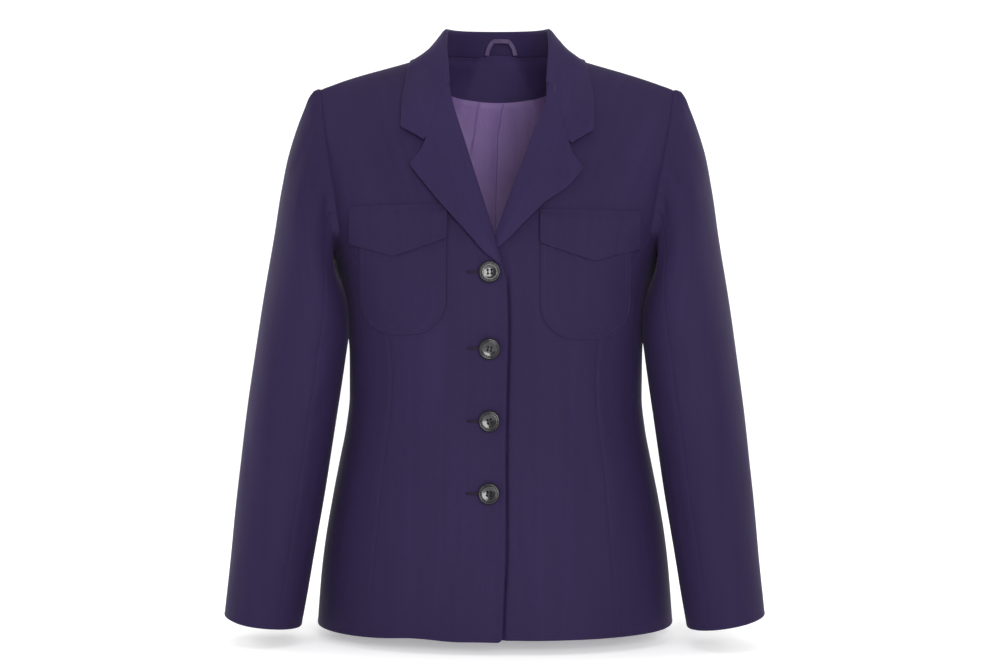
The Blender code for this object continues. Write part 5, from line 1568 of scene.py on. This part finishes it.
def pocketLines(side):
    drop = drops[side]
    inset, corner = pocket["stitchInset"], pocket["corner"] - pocket["stitchInset"]
    left, right = pocket["inner"] + inset, pocket["outer"] - inset
    bottom = pocket["bottom"] + inset
    down = np.arange(pocket["stitchTop"], bottom + corner, -2 * mm)
    turn = np.linspace(0, math.pi / 2, 24)
    quarterX, quarterZ = corner * (1 - np.cos(turn)), corner * (1 - np.sin(turn))
    x = np.concatenate([np.full_like(down, left), left + quarterX, right - quarterX[::-1],
                        np.full_like(down, right)])
    z = np.concatenate([down, bottom + quarterZ, bottom + quarterZ[::-1], down[::-1]])
    top = cloth["layGap"] + cloth["pocket"] - cloth["stitchDip"] - stitching["sunk"]
    lines = [lineOn(side, x, z - drop, top + 0 * x)]
    across = np.arange(flap["outline"]["x"][0] + 2 * mm, flap["outline"]["x"][-1] - 1.5 * mm, 2 * mm)
    z = flap["outline"]["top"][0] - flap["stitchInset"] - drop + 0 * across
    onPocket = ramp((flap["stitchInset"] - flap["seam"]) / flap["rest"])
    top = (cloth["layGap"] + (cloth["pocket"] + cloth["layGap"]) * onPocket + cloth["flap"]
           - cloth["stitchDip"] - stitching["sunk"])
    return lines + [lineOn(side, across, z, top + 0 * across)]


def holeLines():  # along one side of each slit, round its end and back
    bend = holeSewing["halfGap"] + holeSewing["length"] / 2 * 0.8
    x = np.linspace(holeSewing["start"], holeSewing["end"], 30)[:-1]
    turn = np.linspace(0.1, math.pi - 0.1, 9)
    lines = []
    for level in button["levels"]:
        allX = np.concatenate([x, holeSewing["end"] - bend * np.sin(turn), x[::-1]])
        allZ = np.concatenate([level + bend + 0 * x, level + bend * np.cos(turn), level - bend + 0 * x])
        turns = turnAt(allX, allZ)
        lift = cloth["suiting"] + holeSewing["lift"] + bodyFolds(turns, allZ)
        lines.append((onBody(turns, allZ, lift), bodyNormal(turns, allZ)))
    return lines


def makeSlitShade():  # painted shade: a thin dark lens that lies on the cloth along each buttonhole's slit, in place of the shade inside the cut
    bm = bmesh.new()
    for level in button["levels"]:
        x = np.linspace(holeSewing["start"], holeSewing["end"] - 0.3 * mm, 31)
        wide = holeSewing["halfGap"] * np.sin(np.linspace(0.08, math.pi - 0.08, 31)) ** 0.4
        rims = []
        for height, share in holeSewing["lens"]:
            for way in (-1, 1):
                z = level + way * wide * share
                turn = turnAt(x, z)
                rims.append([bm.verts.new(p) for p in
                             onBody(turn, z, cloth["suiting"] + height + bodyFolds(turn, z))])
        lowDown, lowUp, highDown, highUp = rims
        for k in range(30):
            for a, b in ((lowDown, lowUp), (highUp, highDown), (lowUp, highUp), (highDown, lowDown)):
                bm.faces.new((a[k], a[k + 1], b[k + 1], b[k]))
        for k in (0, 30):
            bm.faces.new((lowDown[k], lowUp[k], highUp[k], highDown[k]))
    bmesh.ops.recalc_face_normals(bm, faces=bm.faces)
    slitShade = meshOf("buttonhole_slit_painted_shade", bm, darkThreadAndSlitShade)
    slitShade.shade_smooth()
    addPiece("buttonhole_slit_painted_shade", slitShade)


buttonThread = {
    "radius": 0.2 * mm, "strands": (-0.32 * mm, 0.0, 0.32 * mm),  # side by side in each bar
    "foot": 0.35 * mm, "arch": 1.75 * mm,  # a bar's ends and its rise over the dish
    "shankRadius": 1.55 * mm, "shankThread": 0.28 * mm, "shankTurns": 6,
    "shankEnds": (1.75 * mm - button["stand"], 0.4 * mm),
}


def tube(bm, points, radius, out, right, sides=8):  # open rings round a line, with an end face on each
    rings = []
    for k, p in enumerate(points):
        way = unit(points[min(k + 1, len(points) - 1)] - points[max(k - 1, 0)])
        a = unit(np.cross(way, out if abs(way @ out) < 0.9 else right))
        rings.append(ringOf(bm, p, a, np.cross(way, a), radius, sides))
    for lower, upper in zip(rings, rings[1:]):
        join(bm, lower, upper)
    bm.faces.new(rings[0])
    bm.faces.new(rings[-1])


def makeButtonThread():  # the shank under each button, and the two bars over its dish
    bm = bmesh.new()
    pitch, wound = button["holePitch"], buttonThread["shankThread"]
    for number in range(len(button["levels"])):
        seat, right, up, out = buttonPlace(number)
        for x in (-pitch, pitch):
            for strand in buttonThread["strands"]:
                t = np.linspace(0, math.pi, 11)[:, None]
                arch = seat + right * (x + strand) + up * (-np.cos(t) * pitch * 0.98)
                arch = arch + out * (buttonThread["foot"] + buttonThread["arch"] * np.sin(t) ** 0.35)
                tube(bm, arch, buttonThread["radius"], out, right)
        first, last = buttonThread["shankEnds"]
        for height in np.linspace(first, last, buttonThread["shankTurns"] + 1)[:-1]:
            loops = []
            for turn in np.linspace(0, 2 * math.pi, 15)[:-1]:
                away = right * math.cos(turn) + up * math.sin(turn)
                loops.append(ringOf(bm, seat + buttonThread["shankRadius"] * away + out * height,
                                    away, out, wound, 6))
            for lower, upper in zip(loops, loops[1:] + loops[:1]):
                join(bm, lower, upper)
    bmesh.ops.recalc_face_normals(bm, faces=bm.faces)
    sewn = meshOf("button_thread", bm, darkThreadAndSlitShade)
    sewn.shade_smooth()
    addPiece("button_thread", sewn)


stitched("pocket_topstitching", pocketLines("right") + pocketLines("left"), stitching, 0, thread)
stitched("buttonhole_stitching", holeLines(), holeSewing, 90, darkThreadAndSlitShade)
makeSlitShade()
makeButtonThread()
print("topstitching, buttonholes and button thread")


# camera, light and ground

setting = {
    "target": (0, 0, -0.318), "azimuth": 1.5, "distance": 1.6, "roll": 0.2,  # degrees and metres
    "lens": 50.57, "sensor": 36, "shift": 0.0081, "clip": (0.02, 60),
    "floor": -0.6525,
    "sweep": {"halfWide": 6, "front": -4.0, "back": 1.6, "radius": 1.0, "top": 3.2},
    "middle": (0, 0, -0.3),
    "world": 0.4,
    "lamps": [  # name, place, size, power; each looks at the middle of the blazer
        ("key beside the camera", (0.5, -2.3, 0.1), 1.2, 43),
        ("fill from the left", (-1.5, -1.3, 0.3), 1.3, 6),
        ("top", (0.0, -0.1, 1.5), 1.4, 12),
        ("left edge", (-1.5, 0.35, 0.1), 1.0, 9),
        ("right edge", (1.5, 0.35, 0.1), 1.0, 9),
    ],
}


def aim(thing, place, target, roll=0.0):
    thing.location = place
    turned = (Vector(target) - Vector(place)).to_track_quat("-Z", "Y").to_matrix().to_4x4()
    thing.matrix_world = Matrix.Translation(place) @ turned @ Matrix.Rotation(math.radians(roll), 4, "Z")


def placeCamera():
    lensData = bpy.data.cameras.new("front camera")
    lensData.lens, lensData.sensor_width = setting["lens"], setting["sensor"]
    lensData.shift_x = setting["shift"]
    lensData.clip_start, lensData.clip_end = setting["clip"]
    camera = linked("front camera", lensData)
    turn = math.radians(setting["azimuth"])
    x, y, z = setting["target"]
    place = (x + setting["distance"] * math.sin(turn), y - setting["distance"] * math.cos(turn), z)
    aim(camera, place, setting["target"], setting["roll"])
    bpy.context.scene.camera = camera


def placeLamps():
    for name, place, size, power in setting["lamps"]:
        lamp = bpy.data.lights.new(name, "AREA")
        lamp.size, lamp.energy = size, power
        aim(linked(name, lamp), place, setting["middle"])
    world = bpy.data.worlds.new("studio")
    bpy.context.scene.world = world
    world.use_nodes = True
    background = world.node_tree.nodes["Background"]
    background.inputs["Color"].default_value = (1, 1, 1, 1)
    background.inputs["Strength"].default_value = setting["world"]


def placeGround():  # one seamless sweep: floor, curve and wall
    bm = bmesh.new()
    sweep, floor = setting["sweep"], setting["floor"]
    radius, wide = sweep["radius"], sweep["halfWide"]
    profile = [(sweep["front"], floor), (sweep["back"], floor)]
    profile += [(sweep["back"] + radius * math.sin(a), floor + radius - radius * math.cos(a))
                for a in np.linspace(0, math.pi / 2, 13)[1:]]
    profile.append((sweep["back"] + radius, sweep["top"]))
    rows = [[bm.verts.new((x, y, z)) for x in (-wide, wide)] for y, z in profile]
    for lower, upper in zip(rows, rows[1:]):
        join(bm, lower, upper, closed=False)
    mesh = meshOf("sweep", bm)
    mesh.shade_smooth()
    material, tree = newMaterial("white paper sweep")
    grain = node(tree, "ShaderNodeTexNoise", Vector=mapped(tree, "Object", (40, 40, 40)), Scale=1.0,
                 Detail=2.0)
    tone = node(tree, "ShaderNodeMapRange", Value=grain.outputs[0], To_Min=0.93, To_Max=0.95)
    finishSurface(tree, Base_Color=tone.outputs[0], Roughness=0.9, Specular_IOR_Level=0.1,
                  Emission_Color=(1, 1, 1, 1), Emission_Strength=0.3)
    mesh.materials.append(material)
    linked("sweep", mesh)


placeCamera()
placeLamps()
placeGround()
bpy.context.scene.view_settings.view_transform = "Standard"
for name, wide, long, area in sheetRows:
    print(f"sheet {name}: {wide} x {long} mm, {area} square metres")
